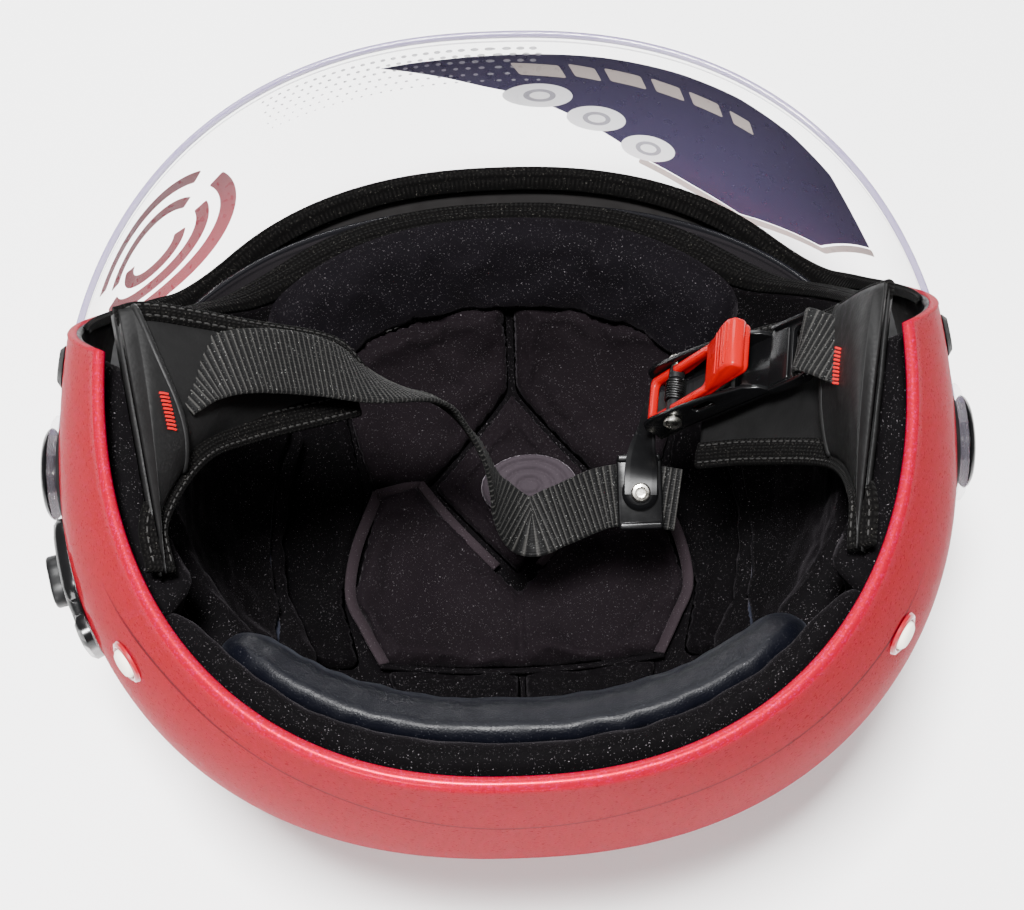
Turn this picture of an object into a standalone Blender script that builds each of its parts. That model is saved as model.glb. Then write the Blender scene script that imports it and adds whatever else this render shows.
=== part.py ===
"""Open face motorcycle helmet with a flip-up visor, a drop-down sun shield and a ratchet buckle.

The helmet lies on its crown with the neck opening up. Metres throughout: +Z runs from the crown to
the neck opening, -Y is the wearer's front, +X is the wearer's right, and the crown touches Z = 0.
"""

import math

import bmesh
import bpy
from mathutils import Matrix, Vector

# Outer surface of the shell: a superellipse in plan, domed below its widest level. The crown has a
# small flat, on which the helmet lies.
HALF_WIDTH = 0.1335
FRONT = 0.132
REAR = 0.1235
WIDEST = 0.1375
RIM = 0.220
PLAN_POWER = 2.3
DOME_POWER = 2.1
SIDE_TUCK = 0.264
END_TUCK = 0.003
TUCK_HEIGHT = 0.1
CROWN_FLAT = 0.002

SHELL_WALL = 0.0042
GAP = 0.0003

# Layers under the shell, as depths below its outer surface.
EPS_TOP = 0.0058
EPS_WALL = 0.0165
PAD_TOP = EPS_TOP + EPS_WALL + 3 * GAP
PAD_WALL = 0.0085
EPS_RIM = 0.1705
EPS_SETBACK = 0.003
LIP_TOP = 0.0102
LIP_HEIGHT = 0.006
RIM_PAD_TOP = 0.0085
CROWN_SHIFT = -0.002

# Face opening, seen from the side: brow line, its corner and the front end of the cheek.
BROW_FRONT = (-0.150, 0.079)
BROW_CORNER = (-0.076, 0.088)
CHEEK_END = (0.000, 0.220)
CORNER_RADIUS = 0.028

# The visor and the sun shield both turn about one cross axis.
PIVOT_Y = 0.003
PIVOT_Z = 0.133
VISOR_REACH = 0.1425
VISOR_HALF_WIDTH = 0.1385
VISOR_WALL = 0.0022
VISOR_CHIN = -6.0
VISOR_TOP = 52.0
SHIELD_REACH = 0.1280
SHIELD_HALF_WIDTH = 0.1235
SHIELD_WALL = 0.0018
SHIELD_EDGE = 26.0
SHIELD_TOP = 70.0
WELL_FLOOR = 0.1170

# Strap anchor rivets, and the slider that works the sun shield.
RIVET_ANGLE = 35.5
RIVET_HEIGHT = 0.184
RIVET_HOLE = 0.0026
LEVER_DIRECTION = Vector((-0.236, 0.972, 0.0))
LEVER_TRAVEL = 0.014

# Buckle: the lever's pin and the direction in which the body runs from its mouth to its tail.
PIN = Vector((-0.052, -0.0145, 0.139))
BUCKLE_AXIS = Vector((-0.655, 0.0, 0.756))
BUCKLE_SIDE = Vector((0.0, 0.96, 0.28))
BUCKLE_HALF_WIDTH = 0.010
WEBBING_WIDTH = 0.020
WEBBING_WALL = 0.0016
BINDING_RADIUS = 0.0018
BINDING_OFFSET = 0.0036

# Moves the origin under the middle of the bounding box, visor included, and onto the flat of the crown.
FRAME_SHIFT = Vector((0.0, 0.008, -CROWN_FLAT))

PAINT = (0.62, 0.01, 0.04)
BLACK = (0.012, 0.012, 0.013)
FABRIC = (0.03, 0.026, 0.03)
SATIN = (0.06, 0.065, 0.085)
LEATHERETTE = (0.035, 0.036, 0.038)
FOAM = (0.05, 0.05, 0.052)
LEVER_RED = (0.85, 0.01, 0.01)
STEEL = (0.72, 0.70, 0.64)


# Scene and materials

def clear_scene():
    for item in list(bpy.data.objects):
        bpy.data.objects.remove(item, do_unlink=True)


def new_collection(name):
    collection = bpy.data.collections.new(name)
    bpy.context.scene.collection.children.link(collection)
    return collection


def finish(piece, colour, roughness, metallic=0.0, alpha=1.0):
    material = bpy.data.materials.new(piece.name)
    material.use_nodes = True
    shader = material.node_tree.nodes["Principled BSDF"]
    shader.inputs["Base Color"].default_value = (*colour, 1.0)
    shader.inputs["Roughness"].default_value = roughness
    shader.inputs["Metallic"].default_value = metallic
    shader.inputs["Alpha"].default_value = alpha
    piece.data.materials.clear()
    piece.data.materials.append(material)


def from_bmesh(name, mesh, collection):
    data = bpy.data.meshes.new(name)
    bmesh.ops.recalc_face_normals(mesh, faces=mesh.faces)
    mesh.to_mesh(data)
    mesh.free()
    piece = bpy.data.objects.new(name, data)
    collection.objects.link(piece)
    return piece


def solidify(piece, thickness, offset=-1.0):
    wall = piece.modifiers.new("wall", "SOLIDIFY")
    wall.thickness = thickness
    wall.offset = offset
    wall.use_even_offset = True


def soften(piece, width, segments=1):
    edge = piece.modifiers.new("edge", "BEVEL")
    edge.width = width
    edge.segments = segments
    edge.limit_method = "ANGLE"
    edge.angle_limit = math.radians(40)


def smooth(piece, levels=1):
    skin = piece.modifiers.new("skin", "SUBSURF")
    skin.levels = levels
    skin.render_levels = levels


def combine(piece, other, operation):
    join = piece.modifiers.new(operation.lower(), "BOOLEAN")
    join.operation = operation
    join.object = other
    join.solver = "EXACT"


def as_cutter(piece):
    piece.hide_render = True
    piece.display_type = "WIRE"
    return piece


# Helmet surface

def plan_point(angle, half_width, front, rear):
    """Point of a superellipse in plan. The angle is in degrees from +X, turning towards the rear."""
    across = math.cos(math.radians(angle))
    along = math.sin(math.radians(angle))
    reach = rear if along > 0 else front
    return (math.copysign(half_width * abs(across) ** (2 / PLAN_POWER), across),
            math.copysign(reach * abs(along) ** (2 / PLAN_POWER), along))


def wall_point(angle, height, depth):
    """Point at a height on the helmet's wall, a depth below the shell's outer surface."""
    x, y = plan_point(angle, HALF_WIDTH - depth, FRONT - depth, REAR - depth)
    if height < WIDEST:
        drop = min((WIDEST - height) / (WIDEST - depth), 1.0)
        scale = (1 - drop ** DOME_POWER) ** (1 / DOME_POWER)
        return Vector((x * scale, y * scale, max(height, depth + CROWN_FLAT)))
    rise = (height - WIDEST) / TUCK_HEIGHT
    return Vector((x * (1 - SIDE_TUCK * rise ** 2), y * (1 - END_TUCK * rise ** 2), height))


def dome_point(x, y, depth):
    """Point of the crown above a place in plan, a depth below the shell's outer surface."""
    reach = (REAR if y > 0 else FRONT) - depth
    spread = abs(x / (HALF_WIDTH - depth)) ** PLAN_POWER + abs(y / reach) ** PLAN_POWER
    spread = min(spread ** (1 / PLAN_POWER), 1.0)
    rise = (WIDEST - depth) * (1 - spread ** DOME_POWER) ** (1 / DOME_POWER)
    return Vector((x, y, max(WIDEST - rise, depth + CROWN_FLAT)))


def cup(name, depth, wall, rim, segments, rings, collection):
    """A bowl on the helmet's surface, open at the neck, with its wall turned inwards."""
    mesh = bmesh.new()
    bmesh.ops.create_uvsphere(mesh, u_segments=segments, v_segments=rings, radius=1.0)
    last = 45.0
    for vertex in list(mesh.verts):
        latitude = math.degrees(math.asin(max(-1.0, min(1.0, vertex.co.z))))
        angle = math.degrees(math.atan2(vertex.co.y, vertex.co.x))
        if latitude > last + 1:
            mesh.verts.remove(vertex)
        elif latitude > 0:
            vertex.co = wall_point(angle, WIDEST + (rim - WIDEST) * latitude / last, depth)
        else:
            drop = math.sin(math.radians(-latitude)) ** (2 / DOME_POWER)
            vertex.co = wall_point(angle, WIDEST - (WIDEST - depth) * min(drop, 0.99999), depth)
    piece = from_bmesh(name, mesh, collection)
    solidify(piece, wall)
    return piece


def patch(name, place, columns, rows, wall, collection, offset=-1.0):
    """A sheet whose place(u, v) gives a point for u and v from 0 to 1, turned into a wall."""
    mesh = bmesh.new()
    bmesh.ops.create_grid(mesh, x_segments=columns, y_segments=rows, size=0.5)
    for vertex in mesh.verts:
        vertex.co = place(vertex.co.x + 0.5, vertex.co.y + 0.5)
    data = bpy.data.meshes.new(name)
    mesh.to_mesh(data)
    mesh.free()
    piece = bpy.data.objects.new(name, data)
    collection.objects.link(piece)
    solidify(piece, wall, offset)
    return piece


def blend_corners(corners, u, v):
    """Bilinear point between corners given as (0, 0), (1, 0), (1, 1) and (0, 1)."""
    a, b, c, d = corners
    return tuple((1 - v) * ((1 - u) * a[i] + u * b[i]) + v * ((1 - u) * d[i] + u * c[i])
                 for i in range(len(a)))


def dome_pad(name, corners, collection, columns=4, rows=3, wall=PAD_WALL):
    """A pad on the crown between four places in plan, listed anticlockwise from above."""
    def place(u, v):
        x, y = blend_corners(corners, u, v)
        return dome_point(x, y, PAD_TOP)
    piece = patch(name, place, columns, rows, wall, collection, offset=1.0)
    smooth(piece)
    return piece


def wall_pad(name, corners, collection, columns=5, rows=3, wall=PAD_WALL, depth=PAD_TOP):
    """A pad on the wall between four (angle, height) corners, listed anticlockwise from inside."""
    def place(u, v):
        angle, height = blend_corners(corners, u, v)
        return wall_point(angle, height, depth)
    piece = patch(name, place, columns, rows, wall, collection)
    smooth(piece)
    return piece


# Rails and ribbons

def curve_points(points, count):
    """Points at even steps along a Catmull-Rom curve through a few points."""
    points = [Vector(point) for point in points]
    padded = [2 * points[0] - points[1], *points, 2 * points[-1] - points[-2]]
    spans = len(points) - 1
    found = []
    for step in range(count):
        where = spans * step / (count - 1)
        span = min(int(where), spans - 1)
        t = where - span
        a, b, c, d = padded[span:span + 4]
        found.append(0.5 * (2 * b + (c - a) * t + (2 * a - 5 * b + 4 * c - d) * t ** 2
                            + (3 * b - a - 3 * c + d) * t ** 3))
    return found


def rail_sheet(name, rail_a, rail_b, columns, rows, wall, collection):
    """A sheet spanning two rails."""
    near = curve_points(rail_a, columns + 1)
    far = curve_points(rail_b, columns + 1)

    def place(u, v):
        step = round(u * columns)
        return near[step].lerp(far[step], v)
    return patch(name, place, columns, rows, wall, collection, offset=0.0)


def ribbon(name, stations, width, wall, count, collection):
    """Webbing through stations of (centre, direction across)."""
    centres = curve_points([centre for centre, _ in stations], count + 1)
    across = curve_points([side for _, side in stations], count + 1)

    def place(u, v):
        step = round(u * count)
        return centres[step] + across[step].normalized() * width * (v - 0.5)
    return patch(name, place, count, 1, wall, collection, offset=0.0)


def offset_rail(points, away, distance):
    """The points moved sideways off their own rail, towards a direction."""
    moved = []
    for index, point in enumerate(points):
        along = points[min(index + 1, len(points) - 1)] - points[max(index - 1, 0)]
        along.normalize()
        moved.append(point + (away - away.dot(along) * along).normalized() * distance)
    return moved


def tube(name, points, radius, collection, resolution=2):
    data = bpy.data.curves.new(name, "CURVE")
    data.dimensions = "3D"
    data.bevel_depth = radius
    data.bevel_resolution = resolution
    data.use_fill_caps = True
    spline = data.splines.new("POLY")
    spline.points.add(len(points) - 1)
    for point, place in zip(spline.points, points):
        point.co = (*place, 1.0)
    piece = bpy.data.objects.new(name, data)
    collection.objects.link(piece)
    return piece


# Turned shapes about the cross axis

def swept_point(t, turn, reach, half_width):
    """Point of the surface that a superellipse sweeps about the pivot axis.

    t runs from -90 at the wearer's left to 90 at the right; turn is in degrees from straight
    ahead towards the crown.
    """
    across = math.sin(math.radians(t))
    out = max(math.cos(math.radians(t)), 0.0)
    x = math.copysign(half_width * abs(across) ** (2 / PLAN_POWER), across)
    radius = reach * out ** (2 / PLAN_POWER)
    angle = math.radians(turn)
    return Vector((x, PIVOT_Y - radius * math.cos(angle), PIVOT_Z - radius * math.sin(angle)))


def swept_band(name, reach, half_width, wall, start, end, columns, rows, collection):
    limit = 86.0

    def place(u, v):
        return swept_point(-limit + 2 * limit * u, start + (end - start) * v, reach, half_width)
    return patch(name, place, columns, rows, wall, collection, offset=1.0)


def cylinder_x(name, radius, low, high, collection, segments=24, y=PIVOT_Y, z=PIVOT_Z, top_radius=None):
    """A cylinder, or a cone when top_radius is given, along X from low to high."""
    mesh = bmesh.new()
    bmesh.ops.create_cone(mesh, cap_ends=True, segments=segments, radius1=radius,
                          radius2=radius if top_radius is None else top_radius, depth=abs(high - low))
    turn = Matrix.Rotation(math.radians(90 if high > low else -90), 4, "Y")
    bmesh.ops.transform(mesh, matrix=turn, verts=mesh.verts)
    bmesh.ops.translate(mesh, vec=((low + high) / 2, y, z), verts=mesh.verts)
    return from_bmesh(name, mesh, collection)


def box(name, low, high, collection, frame=None):
    """A box between two corners, in the world or in a local frame."""
    mesh = bmesh.new()
    bmesh.ops.create_cube(mesh, size=1.0)
    low, high = Vector(low), Vector(high)
    for vertex in mesh.verts:
        vertex.co = Vector(((vertex.co[i] + 0.5) * (high[i] - low[i]) + low[i]) for i in range(3))
    if frame is not None:
        bmesh.ops.transform(mesh, matrix=frame, verts=mesh.verts)
    return from_bmesh(name, mesh, collection)


def prism_x(name, outline, half_length, collection):
    """A closed outline of (y, z) points, extruded along X to both sides."""
    mesh = bmesh.new()
    face = mesh.faces.new([mesh.verts.new((-half_length, y, z)) for y, z in outline])
    far = bmesh.ops.extrude_face_region(mesh, geom=[face])
    moved = [item for item in far["geom"] if isinstance(item, bmesh.types.BMVert)]
    bmesh.ops.translate(mesh, vec=(2 * half_length, 0, 0), verts=moved)
    return from_bmesh(name, mesh, collection)


def rounded_corner(before, corner, after, radius, steps=6):
    """Arc that replaces a corner of an outline."""
    before, corner, after = Vector(before), Vector(corner), Vector(after)
    to_before = (before - corner).normalized()
    to_after = (after - corner).normalized()
    half = to_before.angle(to_after) / 2
    centre = corner + (to_before + to_after).normalized() * radius / math.sin(half)
    start = corner + to_before * radius / math.tan(half) - centre
    end = corner + to_after * radius / math.tan(half) - centre
    arc = [(start.slerp(end, step / steps)).normalized() * radius + centre for step in range(steps + 1)]
    return [tuple(point) for point in arc]


def face_cutter(name, back, collection):
    """The face opening's outline, moved back from the edge and extruded right across."""
    front = (BROW_FRONT[0], BROW_FRONT[1] - back)
    corner = (BROW_CORNER[0] + back, BROW_CORNER[1] - back)
    end = (CHEEK_END[0] + back, CHEEK_END[1])
    slope = (Vector(end) - Vector(corner)).normalized()
    beyond = Vector(end) + slope * 0.03
    outline = [front, *rounded_corner(front, corner, end, CORNER_RADIUS), tuple(beyond),
               (BROW_FRONT[0], beyond.y)]
    return as_cutter(prism_x(name, outline, 0.2, collection))


# Shell and liner

def build_shell(helmet, cutters):
    shell = cup("outer_shell", 0.0, SHELL_WALL, RIM, 48, 20, helmet)
    combine(shell, face_cutter("face_cut", 0.0, cutters), "DIFFERENCE")
    for side in (1, -1):
        hole = post("rivet_hole", rivet_frame(side), RIVET_HOLE, -0.012, 0.012, cutters, 12)
        combine(shell, as_cutter(hole), "DIFFERENCE")
    finish(shell, PAINT, 0.18, 0.35)


def build_eps(helmet, cutters):
    liner = cup("eps_liner", EPS_TOP, EPS_WALL, EPS_RIM, 32, 16, helmet)
    combine(liner, face_cutter("eps_face_cut", EPS_SETBACK, cutters), "DIFFERENCE")
    pocket = swept_band("shield_pocket", SHIELD_REACH + 0.009, SHIELD_HALF_WIDTH + 0.009, 0.0122,
                        -70, 88, 20, 10, cutters)
    combine(liner, as_cutter(pocket), "DIFFERENCE")
    for side in (1, -1):
        well = cylinder_x("shield_well", 0.020, side * WELL_FLOOR, side * 0.140, cutters)
        combine(liner, as_cutter(well), "DIFFERENCE")
    finish(liner, FOAM, 0.9)


def brow_height(y):
    slope = (BROW_CORNER[1] - BROW_FRONT[1]) / (BROW_CORNER[0] - BROW_FRONT[0])
    return BROW_FRONT[1] + (y - BROW_FRONT[0]) * slope


def build_brow(helmet):
    """The ribbed knit lip on the liner's brow edge, and the forehead pad behind it."""
    def lip(u, v):
        angle = -137 + 94 * u
        y = wall_point(angle, BROW_CORNER[1], LIP_TOP).y
        return wall_point(angle, brow_height(y) - EPS_SETBACK + 0.0007 + LIP_HEIGHT * v, LIP_TOP)
    trim = patch("brow_trim", lip, 14, 1, 0.0125, helmet)
    smooth(trim)
    finish(trim, FABRIC, 0.95)
    pad = wall_pad("forehead_pad", [(-140, 0.0620), (-40, 0.0620), (-42, 0.0835), (-138, 0.0835)],
                   helmet, columns=8, rows=2)
    finish(pad, FABRIC, 0.85)


def mirror_corners(corners, side, turn):
    """Corners for the wearer's other side, kept in the order that a patch needs."""
    if side > 0:
        return corners
    a, b, c, d = [turn(corner) for corner in corners]
    return [b, a, d, c]


def build_crown_pads(helmet):
    """The crown pads are one loose quilted piece, so they lie slightly to one side."""
    def turn(corner):
        return (-corner[0], corner[1])

    def placed(corners, side):
        return [(x + CROWN_SHIFT, y) for x, y in mirror_corners(corners, side, turn)]
    for side, name in ((1, "right"), (-1, "left")):
        petal = [(0.004, -0.0795), (0.055, -0.063), (0.041, -0.0245), (0.003, -0.0585)]
        strip = [(0.059, -0.054), (0.082, -0.040), (0.082, 0.040), (0.059, 0.030)]
        gusset = [(0.001, 0.0455), (0.046, 0.0455), (0.040, 0.064), (0.001, 0.068)]
        finish(dome_pad("crown_petal_" + name, placed(petal, side), helmet), FABRIC, 0.85)
        finish(dome_pad("crown_side_pad_" + name, placed(strip, side), helmet), FABRIC, 0.85)
        finish(dome_pad("rear_gusset_" + name, placed(gusset, side), helmet, 4, 2, 0.006), FABRIC, 0.9)
    diamond = [(0.0, -0.0555), (0.0285, -0.024), (0.0, 0.006), (-0.0285, -0.024)]
    center = dome_pad("crown_center_pad", placed(diamond, 1), helmet, 4, 4, 0.007)
    finish(center, FABRIC, 0.85)

    def quilted(u, v):
        across = 2 * u - 1
        spread = abs(across)
        top = 0.014 - 0.036 * min(spread / 0.72, 1.0) + 0.004 * max(spread - 0.72, 0) / 0.28
        side = 0.045 + 0.012 * math.sin(math.pi * min(v / 0.9, 1.0))
        return dome_point(across * side + CROWN_SHIFT, 0.043 + (top - 0.043) * v, PAD_TOP)
    rear = patch("crown_rear_pad", quilted, 8, 2, PAD_WALL, helmet, offset=-1.0)
    smooth(rear)
    finish(rear, FABRIC, 0.85)


def build_wall_pads(helmet):
    def turn(corner):
        return (180 - corner[0], corner[1])
    for side, name in ((1, "right"), (-1, "left")):
        temple = [(-26, 0.086), (46, 0.086), (46, 0.164), (-7, 0.164)]
        cheek = [(-1, 0.1715), (34, 0.1715), (34, 0.205), (1, 0.205)]
        finish(wall_pad("temple_pad_" + name, mirror_corners(temple, side, turn), helmet, rows=4),
               FABRIC, 0.85)
        finish(wall_pad("cheek_pad_" + name, mirror_corners(cheek, side, turn), helmet,
                        wall=0.0100, depth=RIM_PAD_TOP), FOAM, 0.9)
    finish(wall_pad("nape_pad", [(48, 0.088), (132, 0.088), (132, 0.142), (48, 0.142)], helmet),
           FABRIC, 0.85)
    finish(wall_pad("neck_lining", [(48, 0.1445), (132, 0.1445), (130, 0.186), (50, 0.186)], helmet,
                    columns=6, rows=2, wall=0.009, depth=0.0240), SATIN, 0.5)
    finish(wall_pad("neck_roll", [(36, 0.1715), (144, 0.1715), (144, 0.2135), (36, 0.2135)], helmet,
                    columns=12, wall=0.0150, depth=RIM_PAD_TOP), FABRIC, 0.9)


# Cheek skirts and chin strap

SKIRT_TOP_RIGHT = [(0.1065, -0.013, 0.2135), (0.097, -0.0155, 0.210), (0.073, -0.018, 0.190),
                   (0.0515, -0.023, 0.165), (0.0435, -0.018, 0.152)]
SKIRT_LOW_RIGHT = [(0.0920, 0.062, 0.212), (0.0945, 0.046, 0.210), (0.0870, 0.023, 0.196),
                   (0.0745, 0.009, 0.178), (0.0455, -0.007, 0.156)]
SKIRT_TOP_LEFT = [(-0.1065, -0.013, 0.2135), (-0.1015, -0.015, 0.2035), (-0.0950, -0.024, 0.168),
                  (-0.0745, -0.0295, 0.141), (-0.064, -0.026, 0.127)]
SKIRT_LOW_LEFT = [(-0.0920, 0.062, 0.212), (-0.0940, 0.045, 0.2085), (-0.0935, 0.022, 0.174),
                  (-0.0745, 0.010, 0.147), (-0.0590, 0.005, 0.132)]
LONG_STRAP = [((0.0905, 0.006, 0.2145), (-0.50, 0.85, 0.10)), ((0.0715, -0.006, 0.1955), (-0.1, 0.97, 0.0)),
              ((0.0570, -0.011, 0.1790), (0.0, 0.95, 0.25)), ((0.0430, -0.013, 0.163), (0.1, 0.60, 0.80)),
              ((0.0205, -0.018, 0.126), (0.1, 0.35, 0.93)), ((0.0090, -0.010, 0.106), (0.0, 0.35, 0.94)),
              ((0.0030, 0.002, 0.092), (-0.2, 0.60, 0.70)), ((-0.0055, 0.009, 0.084), (-0.1, 0.90, 0.20)),
              ((-0.0155, 0.007, 0.087), (0.0, 0.95, -0.15))]
STRAP_END = [((-0.0300, 0.0045, 0.0965), (0.0, 0.94, -0.34)), ((-0.0420, 0.0055, 0.1010), (0.0, 0.94, -0.34)),
             ((-0.0540, 0.0070, 0.0990), (0.0, 0.94, -0.34))]
SHORT_STRAP = [((-0.0925, -0.003, 0.2000), (0.1, 0.95, 0.1)), ((-0.0890, -0.008, 0.189), (0.1, 0.96, 0.2)),
               ((-0.0868, -0.0115, 0.1815), (0.1, 0.96, 0.28))]


def build_skirts(helmet):
    """Leatherette flaps over the cheek pads, edged with knit binding."""
    for name, top, low in (("right", SKIRT_TOP_RIGHT, SKIRT_LOW_RIGHT),
                           ("left", SKIRT_TOP_LEFT, SKIRT_LOW_LEFT)):
        skirt = rail_sheet("cheek_skirt_" + name, top, low, 10, 4, 0.0022, helmet)
        finish(skirt, LEATHERETTE, 0.55)
        inward = math.copysign(0.6, -top[0][0])
        for edge, rail, away in (("front", top, (0, -1, 0.2)), ("rear", low, (inward, 0.5, -0.6))):
            points = offset_rail(curve_points(rail, 12), Vector(away), BINDING_OFFSET)
            piping = tube("skirt_binding_" + edge + "_" + name, points, BINDING_RADIUS, helmet, 1)
            finish(piping, BLACK, 0.95)


def build_strap(helmet):
    for name, stations, count in (("chin_strap_long", LONG_STRAP, 26), ("chin_strap_end", STRAP_END, 6),
                                  ("chin_strap_short", SHORT_STRAP, 6)):
        finish(ribbon(name, stations, WEBBING_WIDTH, WEBBING_WALL, count, helmet), BLACK, 0.8)


def frame_of(origin, x_axis, z_axis):
    """A frame at a point whose local X and Z point along two directions."""
    x_axis = Vector(x_axis).normalized()
    z_axis = Vector(z_axis)
    z_axis = (z_axis - z_axis.dot(x_axis) * x_axis).normalized()
    columns = (x_axis, z_axis.cross(x_axis), z_axis)
    frame = Matrix.Identity(4)
    for index, column in enumerate(columns):
        frame.col[index][:3] = column
    frame.translation = origin
    return frame


def post(name, frame, radius, low, high, collection, segments=24, top_radius=None, axis="Z"):
    """A round post from low to high along an axis of a frame."""
    mesh = bmesh.new()
    bmesh.ops.create_cone(mesh, cap_ends=True, segments=segments, radius1=radius,
                          radius2=radius if top_radius is None else top_radius, depth=high - low)
    bmesh.ops.translate(mesh, vec=(0, 0, (low + high) / 2), verts=mesh.verts)
    if axis == "Y":
        bmesh.ops.transform(mesh, matrix=Matrix.Rotation(math.radians(-90), 4, "X"), verts=mesh.verts)
    bmesh.ops.transform(mesh, matrix=frame, verts=mesh.verts)
    return from_bmesh(name, mesh, collection)


def buckle_frame():
    """Local X runs from the buckle's mouth to its tail, and local Z out of its face."""
    side = BUCKLE_SIDE.normalized()
    return frame_of(PIN, BUCKLE_AXIS, side.cross(BUCKLE_AXIS))


def build_buckle(helmet, cutters):
    frame = buckle_frame()
    edge = BUCKLE_HALF_WIDTH
    inside = edge - 0.0014

    body = box("buckle_body", (-0.0120, -edge, -0.0068), (0.0515, edge, -0.0053), helmet, frame)
    for side in (1, -1):
        low, high = sorted((side * inside, side * (edge - 0.0001)))
        wall = box("buckle_wall", (-0.0116, low, -0.0060), (0.034, high, 0.0042), cutters, frame)
        combine(body, as_cutter(wall), "UNION")
    slot = box("tail_slot", (0.0440, -0.0086, -0.01), (0.0486, 0.0086, 0.0), cutters, frame)
    bore = post("pin_bore", frame, 0.0021, -0.02, 0.02, cutters, 20, axis="Y")
    window = box("lever_window", (0.0090, -0.02, -0.0012), (0.0170, 0.02, 0.0014), cutters, frame)
    for cutter in (slot, bore, window):
        combine(body, as_cutter(cutter), "DIFFERENCE")
    finish(body, BLACK, 0.25)

    pin = post("lever_pin", frame, 0.0018, -0.0109, 0.0109, helmet, 20, axis="Y")
    for side in (1, -1):
        low, high = sorted((side * 0.0103, side * 0.0114))
        head = post("pin_head", frame, 0.0027, low, high, cutters, 20, axis="Y")
        combine(pin, as_cutter(head), "UNION")
    finish(pin, STEEL, 0.3, 0.9)

    spring = post("lever_spring", frame, 0.0033, -0.0034, 0.0034, helmet, 20, axis="Y")
    eye = post("spring_eye", frame, 0.0022, -0.01, 0.01, cutters, 20, axis="Y")
    combine(spring, as_cutter(eye), "DIFFERENCE")
    finish(spring, STEEL, 0.35, 0.9)

    tilt = frame @ Matrix.Rotation(math.radians(-8), 4, "Y")
    half = 0.0082
    lever = box("buckle_lever", (-0.0026, -half, -0.0024), (0.0400, half, 0.0056), helmet, tilt)
    under = box("lever_under", (0.0045, -half + 0.0016, -0.01), (0.06, half - 0.0016, 0.0030), cutters, tilt)
    gap = box("lever_gap", (-0.01, -0.0038, -0.01), (0.0050, 0.0038, 0.0400), cutters, tilt)
    hole = box("lever_hole", (0.0075, -half + 0.0034, -0.01), (0.0270, half - 0.0034, 0.02), cutters, tilt)
    relief = box("lever_relief", (0.0200, -0.02, -0.02), (0.06, 0.02, 0.0018), cutters, tilt)
    grip = box("lever_grip", (0.0330, -half, 0.0030), (0.0425, half, 0.0085), cutters, tilt)
    for cutter, operation in ((under, "DIFFERENCE"), (gap, "DIFFERENCE"), (hole, "DIFFERENCE"),
                              (relief, "DIFFERENCE"), (bore, "DIFFERENCE"), (grip, "UNION")):
        combine(lever, as_cutter(cutter), operation)
    finish(lever, LEVER_RED, 0.3)


def build_tongue(helmet, cutters):
    frame = buckle_frame()
    side = -frame.col[1].to_3d()
    inside = [(frame @ Vector((x, 0, -0.0044)), side) for x in (0.022, 0.004, -0.0155)]
    outside = [((-0.0432, -0.0065, 0.1200), (-0.45, 0.75, 0.45)),
               ((-0.0420, 0.0005, 0.1115), (-0.95, 0.2, 0.1)),
               ((-0.0415, 0.0080, 0.1085), (-1.0, 0.0, 0.0))]
    tongue = ribbon("ratchet_tongue", inside + outside, 0.0105, 0.0012, 18, helmet)
    finish(tongue, BLACK, 0.35)

    plate_frame = frame_of(Vector((-0.0415, 0.0058, 0.1050)), (-1, 0, 0), (0, 0.36, 0.93))
    slider = box("strap_slider", (-0.0070, -0.0120, -0.0010), (0.0070, 0.0120, 0.0010), helmet, plate_frame)
    bore = post("slider_bore", plate_frame, 0.0020, -0.01, 0.01, cutters, 16)
    combine(slider, as_cutter(bore), "DIFFERENCE")
    combine(tongue, as_cutter(bore), "DIFFERENCE")
    finish(slider, BLACK, 0.3)
    rivet = post("slider_rivet", plate_frame, 0.0017, -0.0012, 0.0052, helmet, 16)
    head = post("slider_rivet_head", plate_frame, 0.0029, 0.0050, 0.0062, cutters, 16)
    combine(rivet, as_cutter(head), "UNION")
    finish(rivet, STEEL, 0.3, 0.9)


def rivet_frame(side):
    """Frame on the shell where a strap anchor rivet goes through, with local Z pointing out."""
    step = 0.5
    place = wall_point(RIVET_ANGLE, RIVET_HEIGHT, 0)
    along = wall_point(RIVET_ANGLE + step, RIVET_HEIGHT, 0) - place
    up = wall_point(RIVET_ANGLE, RIVET_HEIGHT + 0.001, 0) - place
    out = along.cross(up).normalized()
    return frame_of(Vector((side * place.x, place.y, place.z)), (side * along.x, along.y, along.z),
                    (side * out.x, out.y, out.z))


def build_anchors(helmet, cutters):
    for side, name in ((1, "right"), (-1, "left")):
        frame = rivet_frame(side)
        rivet = post("strap_anchor_rivet_" + name, frame, 0.0022, -0.0095, 0.0012, helmet, 20)
        head = post("anchor_head", frame, 0.0042, 0.0010, 0.0024, cutters, 20)
        combine(rivet, as_cutter(head), "UNION")
        finish(rivet, (0.85, 0.80, 0.70), 0.35)
        plate = box("strap_anchor_plate_" + name, (-0.009, -0.007, -0.0066), (0.009, 0.007, -0.0054),
                    helmet, frame)
        bore = post("plate_bore", frame, 0.0026, -0.02, 0.02, cutters, 16)
        combine(plate, as_cutter(bore), "DIFFERENCE")
        finish(plate, STEEL, 0.35, 0.9)


# Visor and sun shield

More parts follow.
